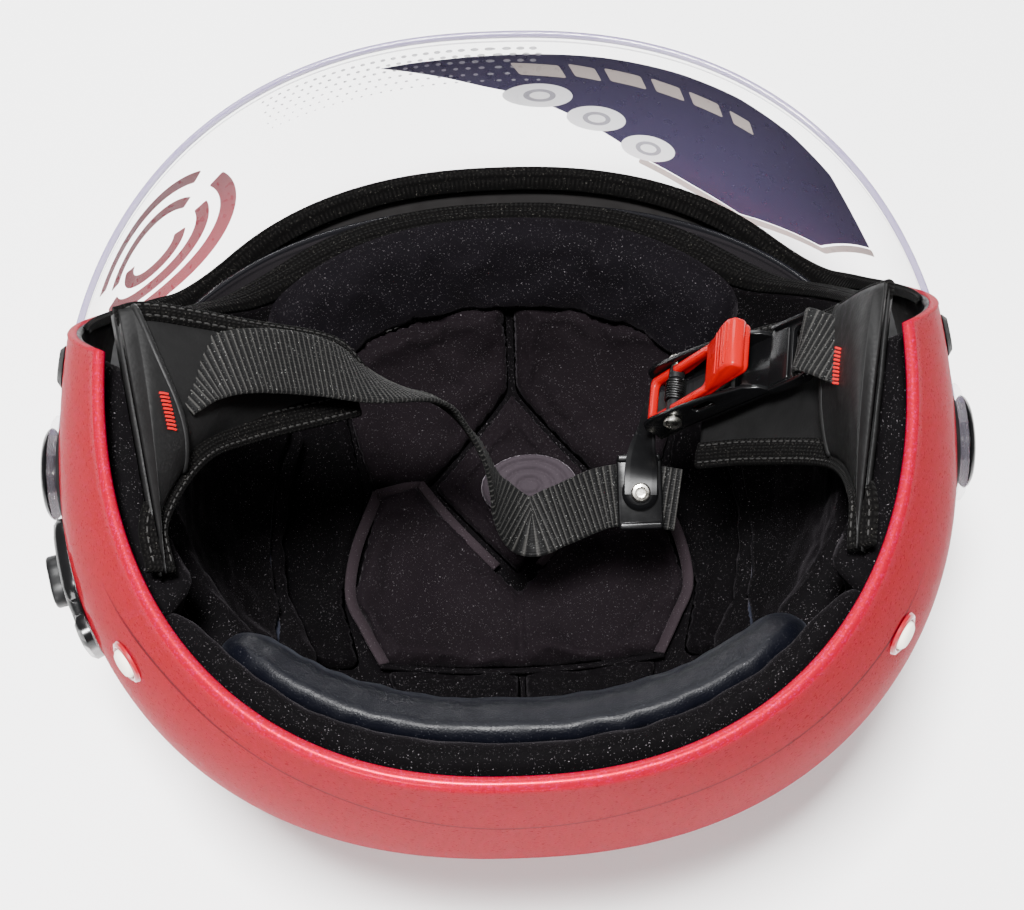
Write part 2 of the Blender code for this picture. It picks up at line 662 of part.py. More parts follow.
def build_visor(helmet, cutters):
    visor = swept_band("visor", VISOR_REACH, VISOR_HALF_WIDTH, VISOR_WALL, VISOR_CHIN, VISOR_TOP,
                       26, 8, helmet)
    for side in (1, -1):
        disc = cylinder_x("visor_disc", 0.018, side * (VISOR_HALF_WIDTH - VISOR_WALL - 0.0008),
                          side * (VISOR_HALF_WIDTH - 0.0008), cutters)
        bore = cylinder_x("visor_bore", 0.0062, side * 0.12, side * 0.15, cutters)
        combine(visor, as_cutter(disc), "UNION")
        combine(visor, as_cutter(bore), "DIFFERENCE")
    finish(visor, (0.85, 0.82, 0.95), 0.05, 0.0, 0.25)

    shield = swept_band("sun_shield", SHIELD_REACH, SHIELD_HALF_WIDTH, SHIELD_WALL, SHIELD_EDGE, SHIELD_TOP,
                        20, 6, helmet)
    for side in (1, -1):
        disc = cylinder_x("shield_disc", 0.014, side * (SHIELD_HALF_WIDTH - SHIELD_WALL - 0.0008),
                          side * (SHIELD_HALF_WIDTH - 0.0008), cutters)
        bore = cylinder_x("shield_bore", 0.0052, side * 0.10, side * 0.14, cutters)
        combine(shield, as_cutter(disc), "UNION")
        combine(shield, as_cutter(bore), "DIFFERENCE")
    finish(shield, (0.02, 0.02, 0.025), 0.05, 0.0, 0.6)


def build_pivots(helmet, cutters):
    for side, name in ((1, "right"), (-1, "left")):
        base = cylinder_x("pivot_base_" + name, 0.017, side * 0.1339, side * 0.1352, helmet)
        boss = cylinder_x("pivot_boss", 0.0058, side * 0.1345, side * 0.1383, cutters)
        thread = cylinder_x("pivot_thread", 0.0022, side * 0.1360, side * 0.1440, cutters, 16)
        combine(base, as_cutter(boss), "UNION")
        combine(base, as_cutter(thread), "DIFFERENCE")
        finish(base, BLACK, 0.4)
        cap = cylinder_x("pivot_cap_" + name, 0.0140, side * 0.1387, side * 0.1414, helmet, 24,
                         top_radius=0.0105)
        recess = cylinder_x("cap_recess", 0.0042, side * 0.1400, side * 0.1440, cutters, 20)
        combine(cap, as_cutter(recess), "DIFFERENCE")
        combine(cap, as_cutter(thread), "DIFFERENCE")
        finish(cap, BLACK, 0.2)
        screw = cylinder_x("pivot_screw_" + name, 0.0039, side * 0.1403, side * 0.1412, helmet, 20)
        shank = cylinder_x("screw_shank", 0.0019, side * 0.1364, side * 0.1405, cutters, 16)
        slot = box("screw_slot", (side * 0.1409 - 0.0006, PIVOT_Y - 0.0005, PIVOT_Z - 0.006),
                   (side * 0.1409 + 0.0012, PIVOT_Y + 0.0005, PIVOT_Z + 0.006), cutters)
        combine(screw, as_cutter(shank), "UNION")
        combine(screw, as_cutter(slot), "DIFFERENCE")
        finish(screw, STEEL, 0.3, 0.9)
        pin = cylinder_x("shield_pin_" + name, 0.0048, side * (WELL_FLOOR + 0.0005), side * 0.1265,
                         helmet, 24)
        finish(pin, STEEL, 0.3, 0.9)
        bumper = patch_bumper(side, "visor_bumper_" + name, helmet)
        finish(bumper, (0.01, 0.01, 0.01), 0.8)


def patch_bumper(side, name, collection):
    """The rubber stop on the cheek's front end, under the visor's arm."""
    def place(u, v):
        point = wall_point(-9 + 5 * u, 0.158 + 0.012 * v, -0.0005)
        return Vector((side * point.x, point.y, point.z))
    bumper = patch(name, place, 2, 2, 0.0022, collection, offset=side * 1.0)
    soften(bumper, 0.0006)
    return bumper


def build_sun_lever(helmet, cutters):
    """The slider on the wearer's right that lowers the sun shield."""
    def place(u, v):
        return wall_point(9.6 + 18.4 * u, 0.126 + 0.021 * v, -0.0006)
    plate = patch("sun_lever_plate", place, 8, 2, 0.0026, helmet, offset=1.0)
    start, end = lever_place(-0.004), lever_place(LEVER_TRAVEL + 0.004)
    along = end - start
    slot_frame = frame_of(start, along, (1, 0.2, 0))
    slot = box("lever_slot", (0, -0.0022, -0.02), (along.length, 0.0022, 0.02), cutters, slot_frame)
    combine(plate, as_cutter(slot), "DIFFERENCE")
    finish(plate, BLACK, 0.3)

    frame = frame_of(lever_place(0), along, (1, 0.2, 0))
    knob = box("sun_lever_knob", (-0.0075, -0.0060, 0.0042), (0.0075, 0.0060, 0.0078), helmet, frame)
    stem = box("knob_stem", (-0.0019, -0.0017, 0.0007), (0.0019, 0.0017, 0.0050), cutters, frame)
    waist = post("knob_waist", frame, 0.0035, 0.0062, 0.02, cutters, 16)
    combine(knob, as_cutter(stem), "UNION")
    combine(knob, as_cutter(waist), "DIFFERENCE")
    finish(knob, BLACK, 0.25)


def lever_place(travel):
    """Point on the shell under the lever's knob, which slides straight towards the rear."""
    start = wall_point(14.5, 0.1365, 0)
    return start + LEVER_DIRECTION * travel


def centre_on_origin():
    for piece in bpy.data.objects:
        piece.data.transform(Matrix.Translation(FRAME_SHIFT))


def main():
    clear_scene()
    helmet = new_collection("open_face_helmet")
    cutters = new_collection("cutters")
    build_shell(helmet, cutters)
    build_eps(helmet, cutters)
    build_brow(helmet)
    build_crown_pads(helmet)
    build_wall_pads(helmet)
    build_skirts(helmet)
    build_strap(helmet)
    build_buckle(helmet, cutters)
    build_tongue(helmet, cutters)
    build_anchors(helmet, cutters)
    build_visor(helmet, cutters)
    build_pivots(helmet, cutters)
    build_sun_lever(helmet, cutters)
    centre_on_origin()


main()
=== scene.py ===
"""Looks of the open face helmet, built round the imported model.

Metres. Places are those of the part's source, and add_mesh() moves them into the part's frame.
"""

import math

import bmesh
import bpy
import numpy as np
from mathutils import Matrix, Vector, noise
from mathutils.geometry import delaunay_2d_cdt


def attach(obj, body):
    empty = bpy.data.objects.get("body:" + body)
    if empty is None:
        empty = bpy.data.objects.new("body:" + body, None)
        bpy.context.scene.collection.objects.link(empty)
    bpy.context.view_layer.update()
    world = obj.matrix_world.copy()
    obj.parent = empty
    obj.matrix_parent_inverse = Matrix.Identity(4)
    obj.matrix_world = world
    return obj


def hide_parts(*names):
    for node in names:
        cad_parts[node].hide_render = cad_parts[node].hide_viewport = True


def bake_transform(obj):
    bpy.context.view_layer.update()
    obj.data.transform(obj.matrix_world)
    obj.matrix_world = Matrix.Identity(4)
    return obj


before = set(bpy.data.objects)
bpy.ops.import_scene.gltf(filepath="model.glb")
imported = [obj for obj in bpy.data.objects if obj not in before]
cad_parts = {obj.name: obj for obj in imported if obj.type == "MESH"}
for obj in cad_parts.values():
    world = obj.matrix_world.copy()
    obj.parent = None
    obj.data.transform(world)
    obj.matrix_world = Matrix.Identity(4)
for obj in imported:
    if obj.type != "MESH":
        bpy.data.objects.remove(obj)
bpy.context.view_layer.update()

# The part's driving sizes
HALF_WIDTH, FRONT, REAR = 0.1335, 0.132, 0.1235
WIDEST, RIM = 0.1375, 0.220
PLAN_POWER, DOME_POWER = 2.3, 2.1
SIDE_TUCK, END_TUCK, TUCK_HEIGHT = 0.264, 0.003, 0.1
CROWN_FLAT = 0.002
SHIFT = Vector((0.0, 0.008, -CROWN_FLAT))
SHELL_WALL = 0.0042
EPS_TOP, EPS_WALL = 0.0058, 0.0165
PAD_TOP = EPS_TOP + EPS_WALL + 0.0009
BROW_FRONT, BROW_CORNER, CHEEK_END = (-0.150, 0.079), (-0.076, 0.088), (0.0, 0.220)
CORNER_RADIUS = 0.028
EPS_SETBACK = 0.003
PIVOT_Y, PIVOT_Z = 0.003, 0.133
VISOR_REACH, VISOR_HALF_WIDTH, VISOR_WALL = 0.1425, 0.1385, 0.0022
VISOR_CHIN, VISOR_TOP = -6.0, 52.0
SHIELD_REACH, SHIELD_HALF_WIDTH, SHIELD_WALL = 0.1280, 0.1235, 0.0018
SHIELD_EDGE, SHIELD_TOP = 26.0, 70.0
CROWN_SHIFT = -0.002
RIVET_ANGLE, RIVET_HEIGHT = 35.5, 0.184
LEVER_DIRECTION = Vector((-0.236, 0.972, 0.0))
PIN = Vector((-0.052, -0.0145, 0.139))
BUCKLE_AXIS = Vector((-0.655, 0.0, 0.756))
BUCKLE_SIDE = Vector((0.0, 0.96, 0.28))
SIDES = ((1, "right"), (-1, "left"))
CLOTH_FRAMES = 20
COVER_CLOTH = {"quality": 5, "mass": 0.15, "tension_stiffness": 12.0, "compression_stiffness": 12.0,
               "shear_stiffness": 5.0, "bending_stiffness": 0.6, "use_pressure": True,
               "uniform_pressure_force": 4.0}


# Meshes

def add_mesh(name, points, faces):
    data = bpy.data.meshes.new(name)
    data.from_pydata([tuple(Vector(point) + SHIFT) for point in points], [], faces)
    data.shade_smooth()
    piece = bpy.data.objects.new(name, data)
    bpy.context.scene.collection.objects.link(piece)
    return piece


def edited(piece, change):
    """Applies change(mesh) to a piece's mesh."""
    mesh = bmesh.new()
    mesh.from_mesh(piece.data)
    change(mesh)
    mesh.to_mesh(piece.data)
    mesh.free()
    return piece


def outward(piece):
    """Turns the faces of a closed mesh outwards."""
    return edited(piece, lambda mesh: bmesh.ops.recalc_face_normals(mesh, faces=mesh.faces))


def sharpen(piece, angle):
    """Keeps the edges sharper than an angle in degrees unsmoothed."""
    piece.data.set_sharp_from_angle(angle=math.radians(angle))
    return piece


def attribute(piece, name, values):
    layer = piece.data.attributes.new(name, "FLOAT", "POINT")
    layer.data.foreach_set("value", np.asarray(values, np.float32))


def settle(piece, body, look, slot, replaced=()):
    """Gives a finished piece its material and body, and hides the CAD nodes it stands for; slot is not used.
    """
    piece.data.materials.clear()
    piece.data.materials.append(look)
    if replaced:
        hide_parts(*replaced)
    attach(piece, body)
    return piece


def pad(piece, look, replaced=(), slot="liner_fabric"):
    """Finishes a stuffed piece: gives it a look, puts it on the helmet's body and hides the CAD nodes it
    replaces.
    """
    settle(piece, "helmet", look, slot, replaced)
    return piece


def clamp(value):
    return min(max(value, 0.0), 1.0)


def grid_faces(columns, rows, closed_columns=False, closed_rows=False, start=0):
    """Quads of a grid of points stored column by column."""
    faces = []
    for i in range(columns if closed_columns else columns - 1):
        a, b = start + i * rows, start + (i + 1) % columns * rows
        for j in range(rows if closed_rows else rows - 1):
            k = (j + 1) % rows
            faces.append((a + j, b + j, b + k, a + k))
    return faces


def tube_faces(stations, size):
    """Faces of a capped tube of rings stored one after another."""
    last = (stations - 1) * size
    caps = [tuple(range(size)), tuple(reversed(range(last, last + size)))]
    return grid_faces(stations, size, closed_rows=True) + caps


# Helmet surface, as in the part's source

def plan_point(angle, half_width, front, rear):
    across = math.cos(math.radians(angle))
    along = math.sin(math.radians(angle))
    reach = rear if along > 0 else front
    return (math.copysign(half_width * abs(across) ** (2 / PLAN_POWER), across),
            math.copysign(reach * abs(along) ** (2 / PLAN_POWER), along))


def softened(height, floor):
    """The height, levelled off smoothly at the crown's flat."""
    blend = 0.0015
    rise = (height - floor) / blend
    if rise > 30:
        return height
    return floor + blend * math.log1p(math.exp(rise))


def wall_point(angle, height, depth):
    x, y = plan_point(angle, HALF_WIDTH - depth, FRONT - depth, REAR - depth)
    if height < WIDEST:
        drop = min((WIDEST - height) / (WIDEST - depth), 1.0)
        scale = (1 - drop ** DOME_POWER) ** (1 / DOME_POWER)
        return Vector((x * scale, y * scale, softened(height, depth + CROWN_FLAT)))
    rise = (height - WIDEST) / TUCK_HEIGHT
    return Vector((x * (1 - SIDE_TUCK * rise ** 2), y * (1 - END_TUCK * rise ** 2), height))


def dome_point(x, y, depth):
    reach = (REAR if y > 0 else FRONT) - depth
    spread = abs(x / (HALF_WIDTH - depth)) ** PLAN_POWER + abs(y / reach) ** PLAN_POWER
    spread = min(spread ** (1 / PLAN_POWER), 1.0)
    rise = (WIDEST - depth) * (1 - spread ** DOME_POWER) ** (1 / DOME_POWER)
    return Vector((x, y, softened(WIDEST - rise, depth + CROWN_FLAT)))


def opening_height(y, back):
    """Height of the face opening's edge at a place along the helmet, seen from the side."""
    front = Vector((BROW_FRONT[0], BROW_FRONT[1] - back))
    corner = Vector((BROW_CORNER[0] + back, BROW_CORNER[1] - back))
    end = Vector((CHEEK_END[0] + back, CHEEK_END[1]))
    if y >= end.x:
        return 1.0
    to_front = (front - corner).normalized()
    to_end = (end - corner).normalized()
    half = to_front.angle(to_end) / 2
    centre = corner + (to_front + to_end).normalized() * CORNER_RADIUS / math.sin(half)
    reach = CORNER_RADIUS / math.tan(half)
    low, high = (corner + to_front * reach).x, (corner + to_end * reach).x
    if y < low:
        return corner.y + (y - corner.x) * to_front.y / to_front.x
    if y > high:
        return corner.y + (y - corner.x) * to_end.y / to_end.x
    return centre.y - math.sqrt(max(CORNER_RADIUS ** 2 - (y - centre.x) ** 2, 0.0))


def edge_height(angle, depth, rim, back):
    """Height at which the wall's edge lies in one direction: the neck rim or the face opening."""
    if wall_point(angle, rim, depth).y >= CHEEK_END[0] + back or math.sin(math.radians(angle)) >= 0:
        return rim
    low, high = 0.02, rim
    for _ in range(40):
        middle = (low + high) / 2
        if middle > opening_height(wall_point(angle, middle, depth).y, back):
            high = middle
        else:
            low = middle
    return low


def column_height(lift, depth):
    """Height at a lift: -90 at the crown, 0 at the widest level, 45 at the neck rim."""
    if lift >= 0:
        return WIDEST + (RIM - WIDEST) * lift / 45
    drop = math.sin(math.radians(-lift)) ** (2 / DOME_POWER)
    return WIDEST - (WIDEST - depth) * min(drop, 0.999999)


def lift_of(height, depth):
    if height >= WIDEST:
        return 45 * (height - WIDEST) / (RIM - WIDEST)
    drop = min((WIDEST - height) / (WIDEST - depth), 1.0)
    return -math.degrees(math.asin(drop ** (DOME_POWER / 2)))


def wall_column(angle, depth, edge, rows):
    """Points up a wall in one direction, from the crown's middle to an edge height."""
    top = lift_of(edge, depth)
    lifts = [-90 + (top + 90) * (0.002 + 0.998 * step / rows) for step in range(rows + 1)]
    return [wall_point(angle, column_height(lift, depth), depth) for lift in lifts]


def bowl(name, outer, inner, rim, back, columns, rows):
    """A closed bowl between two depths with a rounded lip, cut to the neck rim and face opening."""
    lip_steps = 7
    radius = (inner - outer) / 2
    points = []
    for angle in [-180 + 360 * i / columns for i in range(columns)]:
        outside = wall_column(angle, outer, edge_height(angle, outer, rim, back) - radius, rows)
        within_wall = wall_column(angle, inner, edge_height(angle, inner, rim, back) - radius, rows)
        start, before = outside[-1], outside[-3]
        middle = (start + within_wall[-1]) / 2
        across = start - middle
        up = (start - before).normalized()
        up = (up - up.dot(across.normalized()) * across.normalized()).normalized()
        points += outside
        for step in range(1, lip_steps):
            turn = math.pi * step / lip_steps
            points.append(middle + across * math.cos(turn) + up * min(across.length, radius) * math.sin(turn))
        points += reversed(within_wall)
    size = len(points) // columns
    faces = grid_faces(columns, size, closed_columns=True)
    for row in (0, size - 1):
        ring = [i * size + row for i in range(columns)]
        faces.append(tuple(ring) if row else tuple(reversed(ring)))
    return outward(add_mesh(name, points, faces))


# Lofted strips, tubes and quilted pads

def spline_point(points, where):
    """A place on a smooth curve through a few points, at a number of spans from its start."""
    padded = [2 * points[0] - points[1], *points, 2 * points[-1] - points[-2]]
    span = min(int(where), len(points) - 2)
    t = where - span
    a, b, c, d = padded[span:span + 4]
    return 0.5 * (2 * b + (c - a) * t + (2 * a - 5 * b + 4 * c - d) * t ** 2
                  + (3 * b - a - 3 * c + d) * t ** 3)


def curve_points(points, count):
    points = [Vector(point) for point in points]
    return [spline_point(points, (len(points) - 1) * step / (count - 1)) for step in range(count)]


def even_curve(points, step):
    """Points every step along a smooth curve through a few points."""
    fine = curve_points(points, 40 * len(points))
    lengths = [0.0]
    for a, b in zip(fine, fine[1:]):
        lengths.append(lengths[-1] + (b - a).length)
    count = max(int(lengths[-1] / step), 2)
    targets = np.linspace(0, lengths[-1], count + 1)
    columns = [np.interp(targets, lengths, [p[k] for p in fine]) for k in range(3)]
    return [Vector(values) for values in zip(*columns)]


def heading(path, index):
    """Direction of a path at one of its points, from the points beside it."""
    return (path[min(index + 1, len(path) - 1)] - path[max(index - 1, 0)]).normalized()


def sweep(name, centres, sides, profile):
    """Lofts a closed profile(distance) of (across, out) points along a path.

    sides give the direction of the profile's first axis at each station.
    """
    points, along, across = [], [], []
    distance = 0.0
    for index, (centre, side) in enumerate(zip(centres, sides)):
        if index:
            distance += (centre - centres[index - 1]).length
        tangent = heading(centres, index)
        side = (side - side.dot(tangent) * tangent).normalized()
        out = tangent.cross(side)
        for a, b in profile(distance):
            points.append(centre + side * a + out * b)
            along.append(distance)
            across.append(a)
    piece = outward(add_mesh(name, points, tube_faces(len(centres), len(points) // len(centres))))
    attribute(piece, "along", along)
    attribute(piece, "across", across)
    return piece


def ellipse(x, y, rx, ry, start=0, end=360, count=28):
    return [(x + rx * math.cos(math.radians(start + (end - start) * k / count)),
             y + ry * math.sin(math.radians(start + (end - start) * k / count)))
            for k in range(count + (end - start < 360))]


def tube(name, path, side, radius, count=10):
    """A round tube along a path."""
    ring = ellipse(0, 0, radius, radius, count=count)
    return sweep(name, path, [side] * len(path), lambda distance: ring)


def strip_ring(width, wall, steps):
    """Profile of a flat strip with rounded selvedges."""
    half, r = width / 2, wall / 2
    top = [(-half + r + (width - 2 * r) * k / steps, r) for k in range(steps + 1)]
    right = [(half - r + r * math.sin(turn), r * math.cos(turn))
             for turn in (math.pi / 4, math.pi / 2, 3 * math.pi / 4)]
    return top + right + [(x, -y) for x, y in reversed(top)] + [(-x, -y) for x, y in right]


def distance_to(points, line):
    """Distance of each 2D point from a polyline."""
    best = np.full(len(points), 1e9)
    for a, b in zip(line[:-1], line[1:]):
        a, b = np.asarray(a, float), np.asarray(b, float)
        d = b - a
        t = np.clip(((points - a) @ d) / max(d @ d, 1e-18), 0, 1)
        best = np.minimum(best, np.hypot(*(points - a - t[:, None] * d).T))
    return best


def inside(points, outline):
    """Which of some 2D points lie inside a closed outline."""
    outline = np.asarray(outline, float)
    found = np.zeros(len(points), bool)
    for a, b in zip(outline, np.roll(outline, -1, axis=0)):
        crosses = (a[1] > points[:, 1]) != (b[1] > points[:, 1])
        with np.errstate(divide="ignore", invalid="ignore"):
            x = (b[0] - a[0]) * (points[:, 1] - a[1]) / (b[1] - a[1]) + a[0]
        found ^= crosses & (points[:, 0] < x)
    return found


def looped(line):
    return [*line, line[0]]


def square_grid(outline, step):
    """Points a step apart over the box round an outline."""
    low, high = np.min(outline, 0), np.max(outline, 0)
    return [(x, y) for x in np.arange(low[0], high[0], step) for y in np.arange(low[1], high[1], step)]


def within(points, outline, gap):
    """Those of some 2D points that lie inside a closed outline, further than a gap from it."""
    points = np.array(points)
    points = points[inside(points, outline)]
    return points[distance_to(points, looped(outline)) > gap]


def filled(loops, extra=()):
    """Triangles over the inside of the first closed loop, less the insides of the others.

    extra are more points to join up. Gives the points, the loops' edges and the triangles.
    """
    flat, edges = [], []
    for loop in loops:
        start = len(flat)
        flat += [Vector(point) for point in loop]
        edges += [(start + k, start + (k + 1) % len(loop)) for k in range(len(loop))]
    flat += [Vector(point) for point in extra]
    flat, _, triangles, *_ = delaunay_2d_cdt(flat, edges, [], 1, 1e-7)
    flat = np.array([tuple(point) for point in flat])
    centres = np.array([flat[list(face)].mean(axis=0) for face in triangles])
    kept = np.ones(len(triangles), bool)
    for hole in loops[1:]:
        kept &= ~inside(centres, hole)
    return flat, edges, [tuple(face) for face, keep in zip(triangles, kept) if keep]


def rounded_outline(corners, radius, step):
    """A closed outline with its corners rounded, as points about a step apart."""
    corners = [Vector(corner) for corner in corners]
    count = len(corners)
    outline = []
    for index, corner in enumerate(corners):
        before = (corners[index - 1] - corner)
        after = (corners[(index + 1) % count] - corner)
        cut = min(radius, before.length * 0.45, after.length * 0.45)
        start, end = corner + before.normalized() * cut, corner + after.normalized() * cut
        for k in range(5):
            t = k / 4
            outline.append(start * (1 - t) ** 2 + corner * 2 * t * (1 - t) + end * t ** 2)
    dense = []
    for a, b in zip(outline, outline[1:] + outline[:1]):
        pieces = max(int((b - a).length / step), 1)
        dense += [tuple(a + (b - a) * k / pieces) for k in range(pieces)]
    return dense


def quilt(name, corners, place, thickness, roll, radius=0.006, step=0.0018, seams=(), base=0.0,
          wrinkle=0.0006, growth=0.05, reach=0.0018):
    """A stuffed pad over an outline in a surface's own flat coordinates.

    place(a, b, out) puts a point on the surface. roll is how far in from its edge the pad reaches its
    full thickness. seams are (polyline, width, depth) grooves sewn into it.
    """
    outline = rounded_outline(corners, radius, step)
    low, high = np.min(outline, 0), np.max(outline, 0)
    rows = int((high[1] - low[1]) / (step * 0.87)) + 1
    columns = int((high[0] - low[0]) / step) + 1
    lattice = [(low[0] + (i + 0.5 * (j % 2)) * step, low[1] + j * step * 0.87)
               for j in range(rows + 1) for i in range(columns + 1)]
    flat, _, triangles = filled([outline], within(lattice, outline, step * 0.55))
    edge = distance_to(flat, looped(outline))
    share = np.clip(edge / roll, 0, 1)
    height = thickness * (1 - (1 - share) ** 2.2) ** (1 / 2.2)
    on_edge = edge < 1e-6
    held = on_edge.copy()
    for line, width, depth in seams:
        near = distance_to(flat, line)
        held |= near < width
        height *= 1 - depth * np.exp(-(near / width) ** 2)
    front, back = [], []
    for (a, b), up, rim in zip(flat, height, on_edge):
        wave = 0.0 if rim else wrinkle * noise.noise(Vector((a * 90, b * 90, thickness * 400 + len(name))))
        front.append(place(a, b, base + (0.0 if rim else up + wave * min(up / thickness, 1.0))))
        back.append(place(a, b, base - (0.0 if rim else 0.0006)))
    count = len(flat)
    under = [tuple(k if on_edge[k] else k + count for k in reversed(face)) for face in triangles]

    def drop_loose(mesh):
        bmesh.ops.delete(mesh, geom=[v for v in mesh.verts if not v.link_faces], context="VERTS")
    piece = edited(outward(add_mesh(name, front + back, triangles + under)), drop_loose)
    if growth:
        fixed = [int(k) for k in np.flatnonzero(held)] + list(range(count, len(piece.data.vertices)))
        stuff(piece, fixed, growth, reach)
    return piece


def stuff(piece, fixed, growth, reach):
    """Lets the cover of a pad swell and wrinkle as cloth, held at its edge, back and seams."""
    group = piece.vertex_groups.new(name="held")
    group.add(fixed, 1.0, "REPLACE")
    start = np.zeros(len(piece.data.vertices) * 3, np.float32)
    piece.data.vertices.foreach_get("co", start)
    cloth = piece.modifiers.new("cloth", "CLOTH")
    for key, value in COVER_CLOTH.items():
        setattr(cloth.settings, key, value)
    cloth.settings.vertex_group_mass = "held"
    cloth.settings.shrink_min = -growth
    cloth.settings.effector_weights.gravity = 0.0
    cloth.collision_settings.use_collision = False
    cloth.point_cache.frame_start = 1
    cloth.point_cache.frame_end = CLOTH_FRAMES
    for number in range(1, CLOTH_FRAMES + 1):
        bpy.context.scene.frame_set(number)
    shown = piece.evaluated_get(bpy.context.evaluated_depsgraph_get()).data
    moved = np.zeros_like(start)
    shown.vertices.foreach_get("co", moved)
    shift = (moved - start).reshape(-1, 3)
    length = np.linalg.norm(shift, axis=1, keepdims=True)
    shift *= np.minimum(1.0, reach / np.maximum(length, 1e-9))
    piece.modifiers.remove(cloth)
    piece.vertex_groups.remove(group)
    piece.data.vertices.foreach_set("co", (start.reshape(-1, 3) + shift).ravel())
    bpy.context.scene.frame_set(1)
    piece.data.update()


def dome_place(a, b, out):
    return dome_point(a + CROWN_SHIFT, b, PAD_TOP + out)


WALL_SCALE = 0.0018  # metres of wall for one degree round it


def wall_place(depth):
    def place(a, b, out):
        return wall_point(a / WALL_SCALE, b, depth + out)
    return place


def wall_corners(corners):
    return [(angle * WALL_SCALE, height) for angle, height in corners]


# Materials

class Look:
    """A node material with a Principled shader, and short ways to add texture to it."""

    def __init__(self, name, colour, roughness, **sockets):
        self.material = bpy.data.materials.new(name)
        self.material.use_nodes = True
        self.nodes = self.material.node_tree.nodes
        self.links = self.material.node_tree.links
        self.shader = self.nodes["Principled BSDF"]
        self.colour = (*colour, 1.0)
        self.shader.inputs["Base Color"].default_value = self.colour
        self.shader.inputs["Roughness"].default_value = roughness
        for socket, value in sockets.items():
            self.shader.inputs[socket.replace("_", " ")].default_value = value
        self.place = self.nodes.new("ShaderNodeTexCoord").outputs["Object"]

    def node(self, kind, **values):
        made = self.nodes.new("ShaderNode" + kind)
        for key, value in values.items():
            if key in made.bl_rna.properties.keys():
                setattr(made, key, value)
            else:
                made.inputs[key.replace("_", " ")].default_value = value
        return made

    def link(self, source, target):
        self.links.new(source, target)

    def math(self, operation, a, b=None):
        made = self.node("Math", operation=operation)
        for index, value in enumerate((a, b)):
            if value is None:
                continue
            if isinstance(value, (int, float)):
                made.inputs[index].default_value = value
            else:
                self.link(value, made.inputs[index])
        return made.outputs[0]

    def noise(self, scale, detail=2.0, roughness=0.5):
        made = self.node("TexNoise", Scale=scale, Detail=detail, Roughness=roughness)
        self.link(self.place, made.inputs["Vector"])
        return made.outputs["Fac"]

    def cells(self, scale, output="Distance"):
        made = self.node("TexVoronoi", Scale=scale)
        self.link(self.place, made.inputs["Vector"])
        return made.outputs[output]

    def read(self, name):
        return self.node("Attribute", attribute_name=name).outputs["Fac"]

    def wave(self, name, period):
        """0 to 1 and back along one of the mesh's measured directions."""
        turns = self.math("MULTIPLY", self.read(name), 2 * math.pi / period)
        return self.math("MULTIPLY_ADD", self.math("SINE", turns), 0.5)

    def remap(self, value, low, high, out_low=0.0, out_high=1.0):
        made = self.node("MapRange", From_Min=low, From_Max=high, To_Min=out_low, To_Max=out_high)
        self.link(value, made.inputs["Value"])
        return made.outputs["Result"]

    def tint(self, factor, other, amount=None):
        """Mixes another colour into the base colour by a factor from 0 to 1."""
        mix = self.node("Mix", data_type="RGBA")
        a, b = mix.inputs[6], mix.inputs[7]
        current = self.shader.inputs["Base Color"]
        if current.is_linked:
            self.link(current.links[0].from_socket, a)
        else:
            a.default_value = self.colour
        b.default_value = (*other, 1.0)
        if amount is not None:
            factor = self.math("MULTIPLY", factor, amount)
        self.link(factor, mix.inputs[0])
        self.link(mix.outputs[2], current)

    def bump(self, height, depth, strength):
        """Adds relief of a depth in metres."""
        made = self.node("Bump", Strength=strength, Distance=depth)
        self.link(height, made.inputs["Height"])
        current = self.shader.inputs["Normal"]
        if current.is_linked:
            self.link(current.links[0].from_socket, made.inputs["Normal"])
        self.link(made.outputs["Normal"], current)

    def rough(self, value, low, high):
        self.link(self.remap(value, 0.3, 0.7, low, high), self.shader.inputs["Roughness"])


def shade(colour, factor, lift=0.0):
    return tuple(min(value * factor + lift, 1.0) for value in colour)


def paint_look():
    look = Look("candy_red_paint", (0.21, 0.0002, 0.004), 0.40, Metallic=0.30, Specular_IOR_Level=0.0,
                Coat_Weight=0.06, Coat_Roughness=0.04, Coat_IOR=1.35, Specular_Tint=(0.36, 0.006, 0.035, 1.0))
    # The lip band is painted a lighter red: a painted highlight for the light falling on the upturned lip.
    look.tint(look.read("lip"), (0.27, 0.0004, 0.014))
    flakes = look.cells(2600.0, "Color")
    split = look.node("SeparateColor")
    look.link(flakes, split.inputs[0])
    # Some flake cells are painted a lighter magenta: the paint's metallic flakes, with their glitter as
    # painted glints.
    flake_glints = look.remap(split.outputs[0], 0.75, 1.0)
    look.tint(flake_glints, (0.55, 0.005, 0.18), 0.3)
    look.tint(look.noise(14.0, 3.0), (0.10, 0.0, 0.002), 0.25)
    look.rough(look.noise(900.0, 1.0), 0.26, 0.36)
    look.bump(split.outputs[1], 0.00002, 0.35)
    # The groove line is painted a darker red: painted shade in the groove, which the bump below also sinks.
    line = look.remap(look.math("ABSOLUTE", look.read("groove")), 0.0004, 0.0009, 1.0, 0.0)
    line = look.math("MULTIPLY", line, look.read("groove_depth"))
    look.tint(line, (0.05, 0.0, 0.002))
    look.bump(look.math("SUBTRACT", 1.0, line), 0.0006, 1.0)
    return look.material


